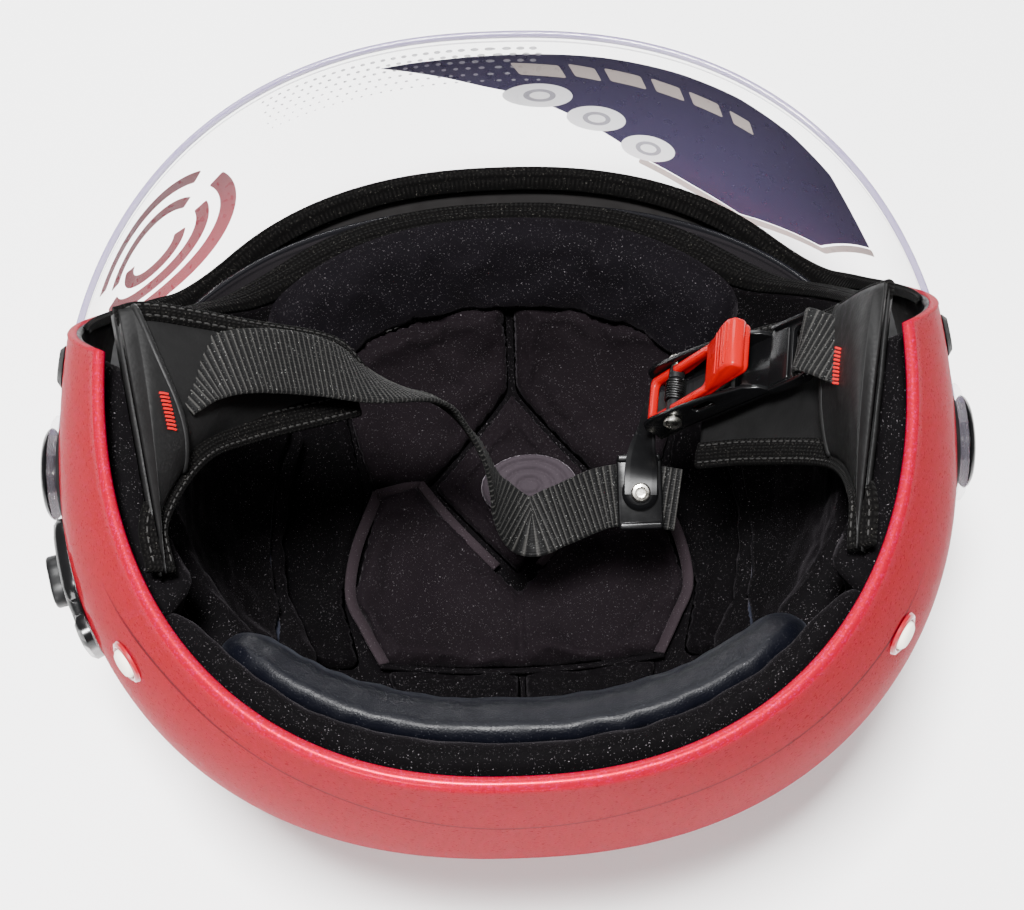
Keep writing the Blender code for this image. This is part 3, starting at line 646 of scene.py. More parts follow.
def fabric_look(name, colour, fleck, sheen):
    look = Look(name, colour, 0.9, Sheen_Weight=sheen, Sheen_Roughness=0.35,
                Sheen_Tint=(0.80, 0.72, 0.80, 1.0), Specular_IOR_Level=0.02)
    look.tint(look.noise(45.0, 4.0, 0.6), shade(colour, 2.1), 0.55)
    specks = look.remap(look.noise(2100.0, 2.0, 0.7), 0.66, 0.76)
    look.tint(specks, (0.34, 0.31, 0.33), fleck)
    grain = look.node("TexNoise", Scale=1500.0, Detail=3.0, Roughness=0.65)
    stretch = look.node("Mapping")
    stretch.inputs["Scale"].default_value = (1.0, 0.45, 1.0)
    look.link(look.place, stretch.inputs["Vector"])
    look.link(stretch.outputs[0], grain.inputs["Vector"])
    look.bump(grain.outputs["Fac"], 0.00022, 0.8)
    look.rough(look.noise(300.0, 2.0), 0.8, 0.98)
    return look.material


def satin_look():
    look = Look("satin_lining", (0.0012, 0.0014, 0.0028), 0.42, Sheen_Weight=0.012, Sheen_Roughness=0.3,
                Sheen_Tint=(0.62, 0.68, 0.85, 1.0), Specular_IOR_Level=0.14)
    look.tint(look.noise(60.0, 3.0), (0.0022, 0.0024, 0.0044), 0.6)
    look.tint(look.remap(look.noise(2400.0, 2.0, 0.7), 0.68, 0.78), (0.32, 0.32, 0.36), 0.35)
    look.bump(look.noise(1800.0, 2.0), 0.00015, 0.7)
    look.rough(look.noise(200.0), 0.36, 0.50)
    return look.material


def leatherette_look():
    look = Look("charcoal_leatherette", (0.0036, 0.0036, 0.0037), 0.5, Specular_IOR_Level=0.14)
    grain = look.cells(900.0)
    look.tint(look.noise(30.0, 3.0), (0.0070, 0.0068, 0.0068), 0.6)
    look.bump(grain, 0.00012, 0.45)
    look.bump(look.noise(160.0, 3.0), 0.0003, 0.25)
    look.rough(look.noise(240.0), 0.44, 0.58)
    return look.material


def knit_look():
    """Binding tape and the knit lip: fine ribs with a stitch across them."""
    look = Look("black_knit_tape", (0.0012, 0.0011, 0.0011), 0.88, Sheen_Weight=0.006, Sheen_Roughness=0.5,
                Specular_IOR_Level=0.03)
    stitch = look.wave("along", 0.0016)
    ribs = look.wave("across", 0.0011)
    loops = look.math("MULTIPLY", stitch, ribs)
    look.tint(loops, (0.0055, 0.0052, 0.0050), 0.7)
    look.tint(look.remap(look.noise(1900.0, 2.0, 0.8), 0.67, 0.76), (0.30, 0.28, 0.25), 0.45)
    look.bump(loops, 0.0004, 0.9)
    look.bump(look.noise(2200.0), 0.0001, 0.6)
    look.rough(look.noise(400.0), 0.8, 0.95)
    return look.material


def webbing_look():
    look = Look("ribbed_webbing", (0.0014, 0.0014, 0.0015), 0.7, Sheen_Weight=0.01, Specular_IOR_Level=0.10)
    # Rib crests are painted a lighter grey: a painted highlight where light catches the ribs.
    crest = look.remap(look.read("crest"), 0.70, 0.97)
    look.tint(look.noise(500.0, 3.0), (0.003, 0.003, 0.003), 0.5)
    look.tint(crest, (0.034, 0.033, 0.031), 0.8)
    look.tint(look.remap(look.noise(2600.0, 1.0, 0.8), 0.7, 0.8), (0.5, 0.5, 0.48), 0.5)
    look.bump(look.wave("across", 0.0009), 0.00012, 0.7)
    look.rough(look.noise(600.0), 0.6, 0.8)
    return look.material


def plastic_look(name, colour, roughness, grain=0.3, coat=0.0):
    look = Look(name, colour, roughness, Coat_Weight=coat, Coat_Roughness=0.05, Specular_IOR_Level=0.2)
    look.tint(look.noise(70.0, 3.0), shade(colour, 1.5, 0.001), 0.35)
    look.bump(look.noise(700.0, 3.0), 0.00006, grain)
    look.rough(look.noise(150.0, 3.0), roughness * 0.8, roughness * 1.25)
    return look.material


def metal_look(name, colour, roughness):
    look = Look(name, colour, roughness, Metallic=1.0)
    look.tint(look.noise(300.0, 4.0), shade(colour, 0.6), 0.5)
    look.bump(look.noise(1400.0), 0.00004, 0.4)
    look.rough(look.noise(500.0, 3.0), roughness * 0.7, roughness * 1.5)
    return look.material


def foam_look():
    look = Look("expanded_foam", (0.006, 0.006, 0.0062), 0.85, Specular_IOR_Level=0.2)
    beads = look.cells(330.0)
    look.tint(beads, (0.012, 0.012, 0.0125), 0.7)
    look.bump(beads, 0.0005, 0.5)
    look.rough(look.noise(300.0), 0.75, 0.92)
    return look.material


def clear_look(name, colour, alpha, edge):
    """Thin clear plastic: see-through face on, and tinted edge on and at its cut rim."""
    look = Look(name, colour, 0.03, Specular_IOR_Level=0.4)
    facing = look.node("LayerWeight", Blend=0.35)
    low, high = alpha
    share = look.remap(facing.outputs["Facing"], 0.45, 0.98, low, high)
    cut = look.remap(look.read("rim"), 0.0006, 0.0010, 1.0, 0.0)
    groove = look.remap(look.math("ABSOLUTE", look.math("SUBTRACT", look.read("rim"), 0.0030)),
                        0.0004, 0.0008, 0.55, 0.0)
    rim = look.math("MAXIMUM", look.math("MULTIPLY", cut, 0.85), groove)
    look.link(look.math("MAXIMUM", share, rim), look.shader.inputs["Alpha"])
    look.tint(look.remap(facing.outputs["Facing"], 0.5, 1.0), edge, 1.0)
    look.tint(look.math("MAXIMUM", cut, groove), shade(edge, 0.6), 1.0)
    look.rough(look.noise(40.0, 3.0), 0.02, 0.05)
    return look.material


def print_look(name, colour, alpha):
    look = Look(name, colour, 0.3, Alpha=alpha)
    look.tint(look.noise(90.0, 3.0), shade(colour, 1.25, 0.005), 0.5)
    look.rough(look.noise(300.0), 0.25, 0.4)
    return look.material


PAINT = paint_look()
FABRIC = fabric_look("liner_fabric_black", (0.0014, 0.0012, 0.0014), 0.5, 0.01)
FABRIC_SOFT = fabric_look("crown_fabric", (0.0034, 0.0025, 0.0031), 0.35, 0.02)
FABRIC_PALE = fabric_look("piping_fabric", (0.0105, 0.0078, 0.0092), 0.3, 0.03)
# A lighter copy of the black liner fabric, with more sheen, for the forehead roll: painted highlight for the
# light on the roll.
FABRIC_FRONT_LIT = fabric_look("forehead_fabric_lit", (0.0022, 0.0018, 0.0024), 0.45, 0.035)
FABRIC_DARK = fabric_look("side_fabric", (0.0012, 0.0010, 0.0012), 0.35, 0.01)
PIPING = fabric_look("side_piping_fabric", (0.010, 0.011, 0.016), 0.3, 0.06)
ROLL = fabric_look("neck_roll_fabric", (0.0014, 0.0012, 0.0014), 0.5, 0.015)
SATIN = satin_look()
LEATHERETTE = leatherette_look()
KNIT = knit_look()
WEBBING = webbing_look()
BLACK = plastic_look("gloss_black_plastic", (0.0020, 0.0020, 0.0022), 0.22, coat=0.12)
SATIN_BLACK = plastic_look("satin_black_plastic", (0.0035, 0.0035, 0.0038), 0.4)
LEVER_RED = plastic_look("red_lever_plastic", (0.24, 0.0002, 0.0008), 0.3, 0.5, 0.06)
THREAD_RED = plastic_look("red_thread", (0.30, 0.002, 0.003), 0.7, 0.6)
STEEL = metal_look("rivet_steel", (0.78, 0.75, 0.68), 0.25)
DARK_STEEL = metal_look("spring_steel", (0.03, 0.03, 0.03), 0.4)
CREAM = plastic_look("cream_plug", (0.78, 0.72, 0.60), 0.35)
RUBBER = plastic_look("black_rubber", (0.008, 0.008, 0.008), 0.6)
FOAM = foam_look()
INNER = plastic_look("shell_inside", (0.012, 0.011, 0.011), 0.7, 0.6)
FABRIC_PATCH = fabric_look("patch_fabric", (0.020, 0.016, 0.019), 0.15, 0.2)
RING_RED = plastic_look("dark_red_ring", (0.20, 0.002, 0.008), 0.35, 0.3, 0.6)
THREAD = plastic_look("dark_thread", (0.016, 0.0155, 0.015), 0.7, 0.6)
PRINT_VIOLET = print_look("violet_print", (0.008, 0.004, 0.034), 1.0)
PRINT_BEIGE = print_look("beige_print", (0.42, 0.36, 0.33), 1.0)
PRINT_WHITE = print_look("white_print", (0.85, 0.84, 0.86), 0.95)
PRINT_GREY = print_look("grey_print", (0.30, 0.29, 0.33), 0.75)
PRINT_RED = print_look("red_print", (0.30, 0.003, 0.018), 0.97)
CLEAR = clear_look("clear_visor", (0.86, 0.80, 0.93), (0.02, 0.5), (0.20, 0.15, 0.34))
SMOKE = clear_look("smoke_shield", (0.02, 0.018, 0.02), (0.72, 0.95), (0.01, 0.01, 0.012))


# Small hard parts

def frame_of(origin, x_axis, z_axis):
    """A frame at a point whose local X and Z point along two directions."""
    x_axis = Vector(x_axis).normalized()
    z_axis = Vector(z_axis)
    z_axis = (z_axis - z_axis.dot(x_axis) * x_axis).normalized()
    columns = (x_axis, z_axis.cross(x_axis), z_axis)
    made = Matrix.Identity(4)
    for index, column in enumerate(columns):
        made.col[index][:3] = column
    made.translation = origin
    return made


def extruded(name, outline, low, high, local, bevel, plane="XY", holes=()):
    """A closed outline pushed from low to high along the third axis of a frame, with rounded edges."""
    flat, edges, cap = filled([outline, *holes])
    points = [local @ Vector((x, level, y) if plane == "XZ" else (x, y, level))
              for level in (low, high) for x, y in flat]
    count = len(flat)
    faces = cap + [tuple(k + count for k in reversed(face)) for face in cap]
    faces += [(a, b, b + count, a + count) for a, b in edges]

    def round_edges(mesh):
        bmesh.ops.dissolve_limit(mesh, angle_limit=math.radians(1), verts=mesh.verts, edges=mesh.edges)
        sharp = [edge for edge in mesh.edges
                 if len(edge.link_faces) == 2 and edge.calc_face_angle() > math.radians(35)]
        bmesh.ops.bevel(mesh, geom=sharp, offset=bevel, segments=3, profile=0.5, affect="EDGES",
                        clamp_overlap=True)
    piece = edited(outward(add_mesh(name, points, faces)), round_edges)
    piece.data.shade_smooth()
    return sharpen(piece, 35)


def rectangle(low, high, radius):
    """A rectangle with rounded corners."""
    steps = 5
    (x0, y0), (x1, y1) = low, high
    corners = (((x1 - radius, y1 - radius), 0), ((x0 + radius, y1 - radius), 90),
               ((x0 + radius, y0 + radius), 180), ((x1 - radius, y0 + radius), 270))
    return [(x + radius * math.cos(math.radians(turn + 90 * k / steps)),
             y + radius * math.sin(math.radians(turn + 90 * k / steps)))
            for (x, y), turn in corners for k in range(steps + 1)]


def lathe(name, profile, local, axis="Z", sides=64):
    """A closed (radius, level) profile turned about the Z or Y axis of a frame."""
    points = []
    for k in range(sides):
        turn = 2 * math.pi * k / sides
        for radius, level in profile:
            a, b = radius * math.cos(turn), radius * math.sin(turn)
            points.append(local @ Vector((b, level, a) if axis == "Y" else (a, b, level)))
    faces = grid_faces(sides, len(profile), closed_columns=True, closed_rows=True)
    piece = edited(add_mesh(name, points, faces),
                   lambda mesh: bmesh.ops.remove_doubles(mesh, verts=mesh.verts, dist=1e-7))
    return sharpen(outward(piece), 38)


def joined(name, pieces):
    """One mesh from several."""
    mesh = bmesh.new()
    for piece in pieces:
        mesh.from_mesh(piece.data)
    data = bpy.data.meshes.new(name)
    mesh.to_mesh(data)
    mesh.free()
    data.shade_smooth()
    for piece in pieces:
        bpy.data.objects.remove(piece)
    whole = bpy.data.objects.new(name, data)
    bpy.context.scene.collection.objects.link(whole)
    return sharpen(whole, 38)


# Shell and lining

LIP_BAND = 0.0035
LINING_DEPTH, LINING_WALL, LINING_TOP = 0.0225, 0.0006, 0.1715
LINING_SETBACK = EPS_SETBACK + 0.0004
GROOVE = [(29, 0.200), (46, 0.2045), (63, 0.195), (87, 0.170), (112, 0.183), (133, 0.1905), (151, 0.191)]


def azimuth_of(point):
    return math.degrees(math.atan2(point.y, point.x))


def build_shell():
    shell = bowl("shell_skin", 0.0, SHELL_WALL, RIM, 0.0, 288, 80)
    line = curve_points([(angle, height, 0) for angle, height in GROOVE], 60)
    groove_x, groove_z = [p.x for p in line], [p.y for p in line]
    gaps, ends, lip = [], [], []
    for vertex in shell.data.vertices:
        place = vertex.co - SHIFT
        angle = azimuth_of(place)
        # groove and groove_depth place the line that the paint look darkens as painted shade.
        gaps.append(place.z - np.interp(angle, groove_x, groove_z))
        ends.append(clamp((angle - 27) / 10) * clamp((153 - angle) / 10))
        # lip marks the rim band that the paint look paints lighter, as a painted highlight.
        lip.append(clamp((place.z - RIM + LIP_BAND) / 0.0015))
    attribute(shell, "groove", gaps)
    attribute(shell, "groove_depth", ends)
    attribute(shell, "lip", lip)
    settle(shell, "helmet", PAINT, "shell_paint", ["outer_shell"])
    shell.data.materials.append(INNER)
    for face in shell.data.polygons:
        centre = face.center - SHIFT
        outwards = Vector((centre.x, centre.y, centre.z - WIDEST))
        if centre.z < RIM - LIP_BAND and face.normal.dot(outwards) < 0:
            face.material_index = 1


def build_lining():
    lining = bowl("liner_cover", LINING_DEPTH, LINING_DEPTH + LINING_WALL, LINING_TOP, LINING_SETBACK,
                  200, 60)
    settle(lining, "helmet", FABRIC, "liner_fabric")


def lip_height(angle, depth):
    """The edge on which the brow band lies: the shell's own, then the liner's a little behind it."""
    share = clamp((depth - 0.003) / 0.004)
    back = EPS_SETBACK * share * share * (3 - 2 * share)
    return edge_height(angle, depth, RIM, back)


LIP_SHOWN = 0.0030
SLOT_END = 0.0132


def lip_strip(name, outer, inner, rise, ribs, replaced=()):
    """A ribbed knit band over the liner's edge along the face opening, between two depths."""
    first, last, count = -169, -11, 320
    steps, under_steps = 60, 5
    size = steps + 1 + under_steps
    points, along, across = [], [], []
    before, distance = None, 0.0
    middle = (first + last) / 2
    for i in range(count + 1):
        angle = first + (last - first) * i / count
        ends = math.sqrt(max(1 - (abs(2 * i / count - 1)) ** 24, 0.0))
        shown = LIP_SHOWN if outer < SHELL_WALL else 0.0
        start = outer + shown * min(abs(angle - middle) / 65, 1.0) ** 3
        for k in range(steps + 1):
            share = k / steps
            depth = start + (inner - start) * share
            crown = (1 - abs(2 * share - 1) ** 3) ** 0.5
            rib = 0.00045 * (abs(math.sin(math.pi * ribs * share)) - 0.5)
            height = lip_height(angle, depth) + 0.0003 + ends * (rise * crown + rib)
            points.append(wall_point(angle, height, depth))
            across.append(share * (inner - start))
        for k in range(under_steps):
            share = 1 - (k + 0.5) / under_steps
            depth = start + (inner - start) * share
            height = lip_height(angle, depth) + 0.0002
            points.append(wall_point(angle, height, depth))
            across.append(share * (inner - start))
        crest = points[steps // 2 - size]
        if before is not None:
            distance += (crest - before).length
        before = crest
        along += [distance] * size
    band = outward(add_mesh(name, points, tube_faces(count + 1, size)))
    attribute(band, "along", along)
    attribute(band, "across", across)
    return pad(band, KNIT, replaced)


def build_brow():
    lip_strip("brow_edge_knit", 0.0006, 0.0058, 0.0040, 2)
    lip_strip("brow_knit_band", SLOT_END, 0.0232, 0.0062, 4, ["brow_trim"])
    corners = [(-144, 0.0640), (-36, 0.0640), (-39, 0.0905), (-141, 0.0905)]
    roll = quilt("forehead_roll", wall_corners(corners), wall_place(PAD_TOP), thickness=0.0105, roll=0.012,
                 radius=0.012, step=0.0021, wrinkle=0.0009, growth=0.03)
    # The forehead roll takes the lighter fabric copy: painted highlight.
    pad(roll, FABRIC_FRONT_LIT, ["forehead_pad"])


def dome_band(name, places, width, wall, out, look=FABRIC_PALE):
    """A flat band of cloth along a line over the crown."""
    path, normals = [], []
    for spot in even_curve([(a, b, 0) for a, b in places], 0.0015):
        here = dome_place(spot.x, spot.y, out)
        across_x = dome_place(spot.x + 0.001, spot.y, out) - here
        across_y = dome_place(spot.x, spot.y + 0.001, out) - here
        path.append(here)
        normals.append(across_x.cross(across_y).normalized())
    sides = [normal.cross(heading(path, index)) for index, normal in enumerate(normals)]
    shape = ((-1, 0), (-0.93, 0.7), (-0.8, 1), (0, 1.15), (0.8, 1), (0.93, 0.7), (1, 0), (0.8, -1),
             (-0.8, -1))
    ring = [(x * width / 2, y * wall / 2) for x, y in shape]
    pad(sweep(name, path, sides, lambda distance: ring), look)


PETAL = [(0.0012, -0.0830), (0.030, -0.0775), (0.0600, -0.0660), (0.0560, -0.040), (0.0500, -0.0215),
         (0.0310, -0.0245), (0.0012, -0.0570)]
SIDE_STRIP = [(0.0615, -0.062), (0.088, -0.044), (0.092, 0.0), (0.088, 0.048), (0.0540, 0.046),
              (0.0610, 0.0190), (0.0530, -0.0190)]
PETAL_SEAM = [(0.0015, -0.0797), (0.029, -0.0743), (0.0580, -0.0632)]
PETAL_STITCHES = [(0.003, -0.0812), (0.030, -0.0759), (0.0575, -0.0650)]
GUSSET = [(0.0008, 0.0455), (0.046, 0.0455), (0.042, 0.058), (0.026, 0.0665), (0.0008, 0.0690)]
DIAMOND = [(0.0, -0.0560), (0.0288, -0.0240), (0.0, 0.0075), (-0.0288, -0.0240)]
REAR_PAD = [(0.046, 0.0435), (0.0575, 0.0190), (0.0485, -0.0195), (0.0350, -0.0250), (0.0085, 0.0060),
            (0.0, 0.0150), (-0.0085, 0.0060), (-0.0350, -0.0250), (-0.0485, -0.0195), (-0.0575, 0.0190),
            (-0.046, 0.0435)]
PATCH_CENTRE, PATCH_REACH = (-0.005, -0.0225), (0.0172, 0.0118)
PIPINGS = (("piping_outer_", [(0.0485, -0.0200), (0.0560, 0.0010), (0.0580, 0.0190), (0.0530, 0.0310),
                              (0.0465, 0.0440)], 0.0042, 0.0046),
           ("piping_inner_", [(0.0345, -0.0255), (0.0215, -0.0095), (0.0075, 0.0060)], 0.0034, 0.0050),
           ("piping_top_", [(0.0490, -0.0195), (0.0415, -0.0222), (0.0340, -0.0252)], 0.0034, 0.0052))


def mirrored(corners, side):
    return corners if side > 0 else [(-x, y) for x, y in corners]


def build_crown():
    for side, name in SIDES:
        petal = quilt("petal_" + name, mirrored(PETAL, side), dome_place, thickness=0.0078, roll=0.010,
                      radius=0.003, step=0.0016, seams=[(mirrored(PETAL_SEAM, side), 0.0007, 0.35)],
                      wrinkle=0.0010)
        pad(petal, FABRIC_SOFT, ["crown_petal_" + name])
        strip = quilt("side_strip_" + name, mirrored(SIDE_STRIP, side), dome_place, thickness=0.0050,
                      roll=0.010)
        pad(strip, FABRIC_DARK, ["crown_side_pad_" + name])
        wedges = [(mirrored([(0.002, 0.047), (0.030, 0.066)], side), 0.0011, 0.6),
                  (mirrored([(0.013, 0.0455), (0.044, 0.0525)], side), 0.0011, 0.5)]
        gusset = quilt("gusset_" + name, mirrored(GUSSET, side), dome_place, thickness=0.0055, roll=0.006,
                       radius=0.003, step=0.0016, seams=wedges)
        pad(gusset, FABRIC, ["rear_gusset_" + name])
        stitch_line("petal_stitches_" + name, mirrored(PETAL_STITCHES, side), 0.0052)
    borders = []
    for scale in (0.87, 0.78):
        line = [(x * scale, -0.024 + (y + 0.024) * scale) for x, y in DIAMOND]
        borders.append((looped(line), 0.0007, 0.45))
    diamond = quilt("diamond_pad", DIAMOND, dome_place, thickness=0.0065, roll=0.004, radius=0.002,
                    step=0.0012, seams=borders, wrinkle=0.0004)
    pad(diamond, FABRIC_SOFT, ["crown_center_pad"])

    def oval(scale):
        return ellipse(*PATCH_CENTRE, PATCH_REACH[0] * scale, PATCH_REACH[1] * scale, count=48)
    grooves = [(looped(oval(scale)), 0.00055, 0.6) for scale in (0.76, 0.50, 0.24)]
    patch = quilt("oval_patch", oval(1.0), dome_place, thickness=0.0022, roll=0.0022, radius=0.0001,
                  step=0.0007, seams=grooves, base=0.0062, wrinkle=0.0001, growth=0.0)
    pad(patch, FABRIC_PATCH, ())

    ridge = [([(0.0, 0.013), (0.0, 0.044)], 0.0014, 0.22)]
    rear = quilt("rear_quilt", REAR_PAD, dome_place, thickness=0.0090, roll=0.010, radius=0.003,
                 step=0.0016, seams=ridge, wrinkle=0.0012)
    pad(rear, FABRIC_SOFT, ["crown_rear_pad"])
    for side, name in SIDES:
        for start, places, width, out in PIPINGS:
            dome_band(start + name, mirrored(places, side), width, 0.0014, out)
    dome_band("rear_seam", [(0.048, 0.0448), (0.0, 0.0460), (-0.048, 0.0448)], 0.0022, 0.0012, 0.0040, FABRIC)


def stitch_line(name, places, out):
    """A row of short stitches over the crown."""
    pitch, thread = 0.0030, 0.00028
    spots = even_curve([(a, b, 0) for a, b in places], pitch)
    parts = []
    for a, b in zip(spots, spots[1:]):
        start, end = a.lerp(b, 0.15), a.lerp(b, 0.80)
        path = [dome_place(*start.lerp(end, t).xy, out + thread * 1.1 * math.sin(math.pi * t))
                for t in (0, 0.5, 1)]
        side = (path[-1] - path[0]).cross(Vector((0, 0, 1)))
        parts.append(tube("stitch", path, side, thread, 6))
    settle(joined(name, parts), "helmet", THREAD, "liner_fabric")


def mirrored_wall(corners, side):
    return corners if side > 0 else [(180 - angle, height) for angle, height in corners]


TEMPLE = [(-27, 0.088), (-26, 0.060), (0, 0.0620), (40, 0.0660), (48, 0.090), (48, 0.130), (46, 0.1655),
          (20, 0.1680), (-7, 0.1655), (-17, 0.120)]
TEMPLE_SEAM = [(-24, 0.0700), (0, 0.0715), (24, 0.0760), (34, 0.0880), (40, 0.1150), (44, 0.140)]
CHEEK_DEPTH = 0.0085
CHEEK = [(-3, 0.1700), (36, 0.1700), (36, 0.2075), (-1, 0.2075)]


def build_walls():
    for side, name in SIDES:
        temple = wall_corners(mirrored_wall(TEMPLE, side))
        seam = wall_corners(mirrored_wall(TEMPLE_SEAM, side))
        piece = quilt("temple_" + name, temple, wall_place(PAD_TOP), thickness=0.0125, roll=0.013,
                      radius=0.012, step=0.0021, seams=[(seam, 0.0016, 0.45)], wrinkle=0.0008, growth=0.02,
                      reach=0.0012)
        pad(piece, FABRIC, ["temple_pad_" + name])
        cord = even_curve([(a, b, 0) for a, b in seam], 0.0016)
        path = [wall_place(PAD_TOP)(spot.x, spot.y, 0.0088) for spot in cord]
        pad(tube("temple_piping_" + name, path, Vector((0, 0.4, 1)), 0.0013), PIPING)
        cheek = wall_corners(mirrored_wall(CHEEK, side))
        piece = quilt("cheek_" + name, cheek, wall_place(CHEEK_DEPTH), thickness=0.0125, roll=0.008,
                      step=0.0022)
        pad(piece, ROLL, ["cheek_pad_" + name], "foam")
    wedges = [(wall_corners([(90, 0.086), (90, 0.145)]), 0.0013, 0.5),
              (wall_corners([(72, 0.086), (66, 0.145)]), 0.0011, 0.35),
              (wall_corners([(108, 0.086), (114, 0.145)]), 0.0011, 0.35)]
    nape = quilt("nape_quilt", wall_corners([(47, 0.080), (133, 0.080), (133, 0.143), (47, 0.143)]),
                 wall_place(PAD_TOP), thickness=0.0085, roll=0.012, radius=0.008, step=0.0022, seams=wedges,
                 wrinkle=0.0008)
    pad(nape, FABRIC, ["nape_pad"])


def roll_piece(name, first, last, count, profile, look, replaced, slot):
    """A stuffed roll round the rear of the neck opening with a (depth, height) profile."""
    points, along = [], []
    size = len(profile)
    centre_depth = sum(depth for depth, _ in profile) / size
    centre_height = sum(height for _, height in profile) / size
    distance, before = 0.0, None
    for i in range(count + 1):
        share = i / count
        angle = first + (last - first) * share
        ends = max(1 - abs(2 * share - 1) ** 14, 0.0) ** 0.5
        wave = 1 + 0.05 * noise.noise(Vector((share * 9, len(name), 0)))
        for depth, height in profile:
            d = centre_depth + (depth - centre_depth) * ends * wave
            h = centre_height + (height - centre_height) * ends
            crease = 0.0007 * noise.noise(Vector((share * 26, depth * 60, height * 40))) * ends
            points.append(wall_point(angle, h, d + crease))
        here = wall_point(angle, centre_height, centre_depth)
        distance += (here - before).length if before is not None else 0.0
        before = here
        along += [distance] * size
    piece = outward(add_mesh(name, points, tube_faces(count + 1, size)))
    attribute(piece, "along", along)
    return pad(piece, look, replaced, slot)


def build_neck():
    roll = rounded_outline([(0.0046, 0.1715), (0.0046, 0.2130), (0.0090, 0.2165), (0.0140, 0.2115),
                            (0.0170, 0.2000), (0.0170, 0.1715)], 0.006, 0.0012)
    roll_piece("rear_neck_roll", 34, 146, 220, roll, ROLL, ["neck_roll"], "liner_fabric")
    tier = rounded_outline([(0.0172, 0.1720), (0.0165, 0.2010), (0.0205, 0.2035), (0.0290, 0.1950),
                            (0.0352, 0.1760), (0.0345, 0.1540), (0.0290, 0.1430), (0.0235, 0.1440),
                            (0.0235, 0.1720)], 0.008, 0.0012)
    roll_piece("satin_tier", 43, 137, 200, tier, SATIN, ["neck_lining"], "satin_fabric")


# Cheek skirts and straps

SKIRT_TOP_RIGHT = [(0.1065, -0.013, 0.2135), (0.097, -0.0155, 0.210), (0.073, -0.018, 0.190),
                   (0.0515, -0.023, 0.165), (0.0435, -0.018, 0.152)]
SKIRT_LOW_RIGHT = [(0.0920, 0.062, 0.212), (0.0945, 0.046, 0.210), (0.0870, 0.023, 0.196),
                   (0.0745, 0.009, 0.178), (0.0455, -0.007, 0.156)]
SKIRT_TOP_LEFT = [(-0.1065, -0.013, 0.2135), (-0.1015, -0.015, 0.2035), (-0.0950, -0.024, 0.168),
                  (-0.0745, -0.0295, 0.141), (-0.064, -0.026, 0.127)]
SKIRT_LOW_LEFT = [(-0.0920, 0.062, 0.212), (-0.0940, 0.045, 0.2085), (-0.0935, 0.022, 0.174),
                  (-0.0745, 0.010, 0.147), (-0.0590, 0.005, 0.132)]
LONG_STRAP = [((0.0915, 0.006, 0.2045), (-0.30, 0.92, 0.10)), ((0.0830, -0.001, 0.2010), (-0.2, 0.95, 0.05)),
              ((0.0715, -0.006, 0.1945), (-0.1, 0.97, 0.0)),
              ((0.0570, -0.011, 0.1790), (0.0, 0.95, 0.25)), ((0.0430, -0.013, 0.163), (0.1, 0.60, 0.80)),
              ((0.0205, -0.018, 0.126), (0.1, 0.35, 0.93)), ((0.0090, -0.010, 0.106), (0.0, 0.35, 0.94)),
              ((0.0030, 0.002, 0.092), (-0.2, 0.60, 0.70)), ((-0.0055, 0.009, 0.084), (-0.1, 0.90, 0.20)),
              ((-0.0155, 0.007, 0.087), (0.0, 0.95, -0.15)), ((-0.0300, 0.0045, 0.0965), (0.0, 0.94, -0.34)),
              ((-0.0420, 0.0055, 0.1010), (0.0, 0.94, -0.34)),
              ((-0.0540, 0.0070, 0.0990), (0.0, 0.94, -0.34))]
SHORT_STRAP = [((-0.1005, -0.001, 0.1935), (0.1, 0.95, 0.1)), ((-0.0955, -0.005, 0.1890), (0.1, 0.95, 0.1)),
               ((-0.0905, -0.009, 0.1850), (0.1, 0.96, 0.2)),
               ((-0.0868, -0.0115, 0.1815), (0.1, 0.96, 0.28)),
               ((-0.0858, -0.0128, 0.1780), (0.1, 0.96, 0.28))]
WEBBING_WIDTH, WEBBING_WALL, RIB_PITCH = 0.020, 0.0015, 0.0019


def skirt_facing(here):
    """Towards the head from a place on a skirt."""
    return Vector((-math.copysign(0.62, here.x), -0.05, 0.78))


def skirt_point(rails, u, v, out):
    """A place on a skirt between its two rails; out is measured towards the head."""
    top, low = rails
    here = rail_at(top, u).lerp(rail_at(low, u), v)
    return here + skirt_facing(here) * out


def rail_at(points, u):
    points = [Vector(point) for point in points]
    return spline_point(points, clamp(u) * (len(points) - 1))


def cloth_patch(name, place, columns, rows, wall):
    """A thin closed sheet from place(u, v, out)."""
    points = [place(i / columns, j / rows, out) for out in (wall / 2, -wall / 2)
              for i in range(columns + 1) for j in range(rows + 1)]
    half = (columns + 1) * (rows + 1)
    faces = grid_faces(columns + 1, rows + 1)
    faces += [tuple(reversed(face)) for face in grid_faces(columns + 1, rows + 1, start=half)]
    border = [i * (rows + 1) for i in range(columns + 1)]
    border += [columns * (rows + 1) + j for j in range(1, rows + 1)]
    border += [i * (rows + 1) + rows for i in range(columns - 1, -1, -1)]
    border += range(rows - 1, 0, -1)
    faces += [(a, b, b + half, a + half) for a, b in zip(border, border[1:] + border[:1])]
    return outward(add_mesh(name, points, faces))


def binding_ring(width, wall):
    """Knit tape folded over an edge: a flattened roll with sunken stitch lines."""
    ring = []
    for k in range(40):
        turn = 2 * math.pi * k / 40
        x, y = math.cos(turn), math.sin(turn)
        x = math.copysign(abs(x) ** 0.8, x)
        dip = 0.22 * (math.exp(-((x - 0.45) / 0.10) ** 2) + math.exp(-((x + 0.45) / 0.10) ** 2))
        ring.append((width / 2 * x, wall / 2 * math.copysign(abs(y) ** 0.7, y) * (1 - dip)))
    return ring


def binding(name, places, normals, width, wall, replaced):
    ring = binding_ring(width, wall)
    sides = [normal.cross(heading(places, index)) for index, normal in enumerate(normals)]
    piece = sweep(name, places, sides, lambda distance: ring)
    settle(piece, "helmet", KNIT, "webbing", replaced)


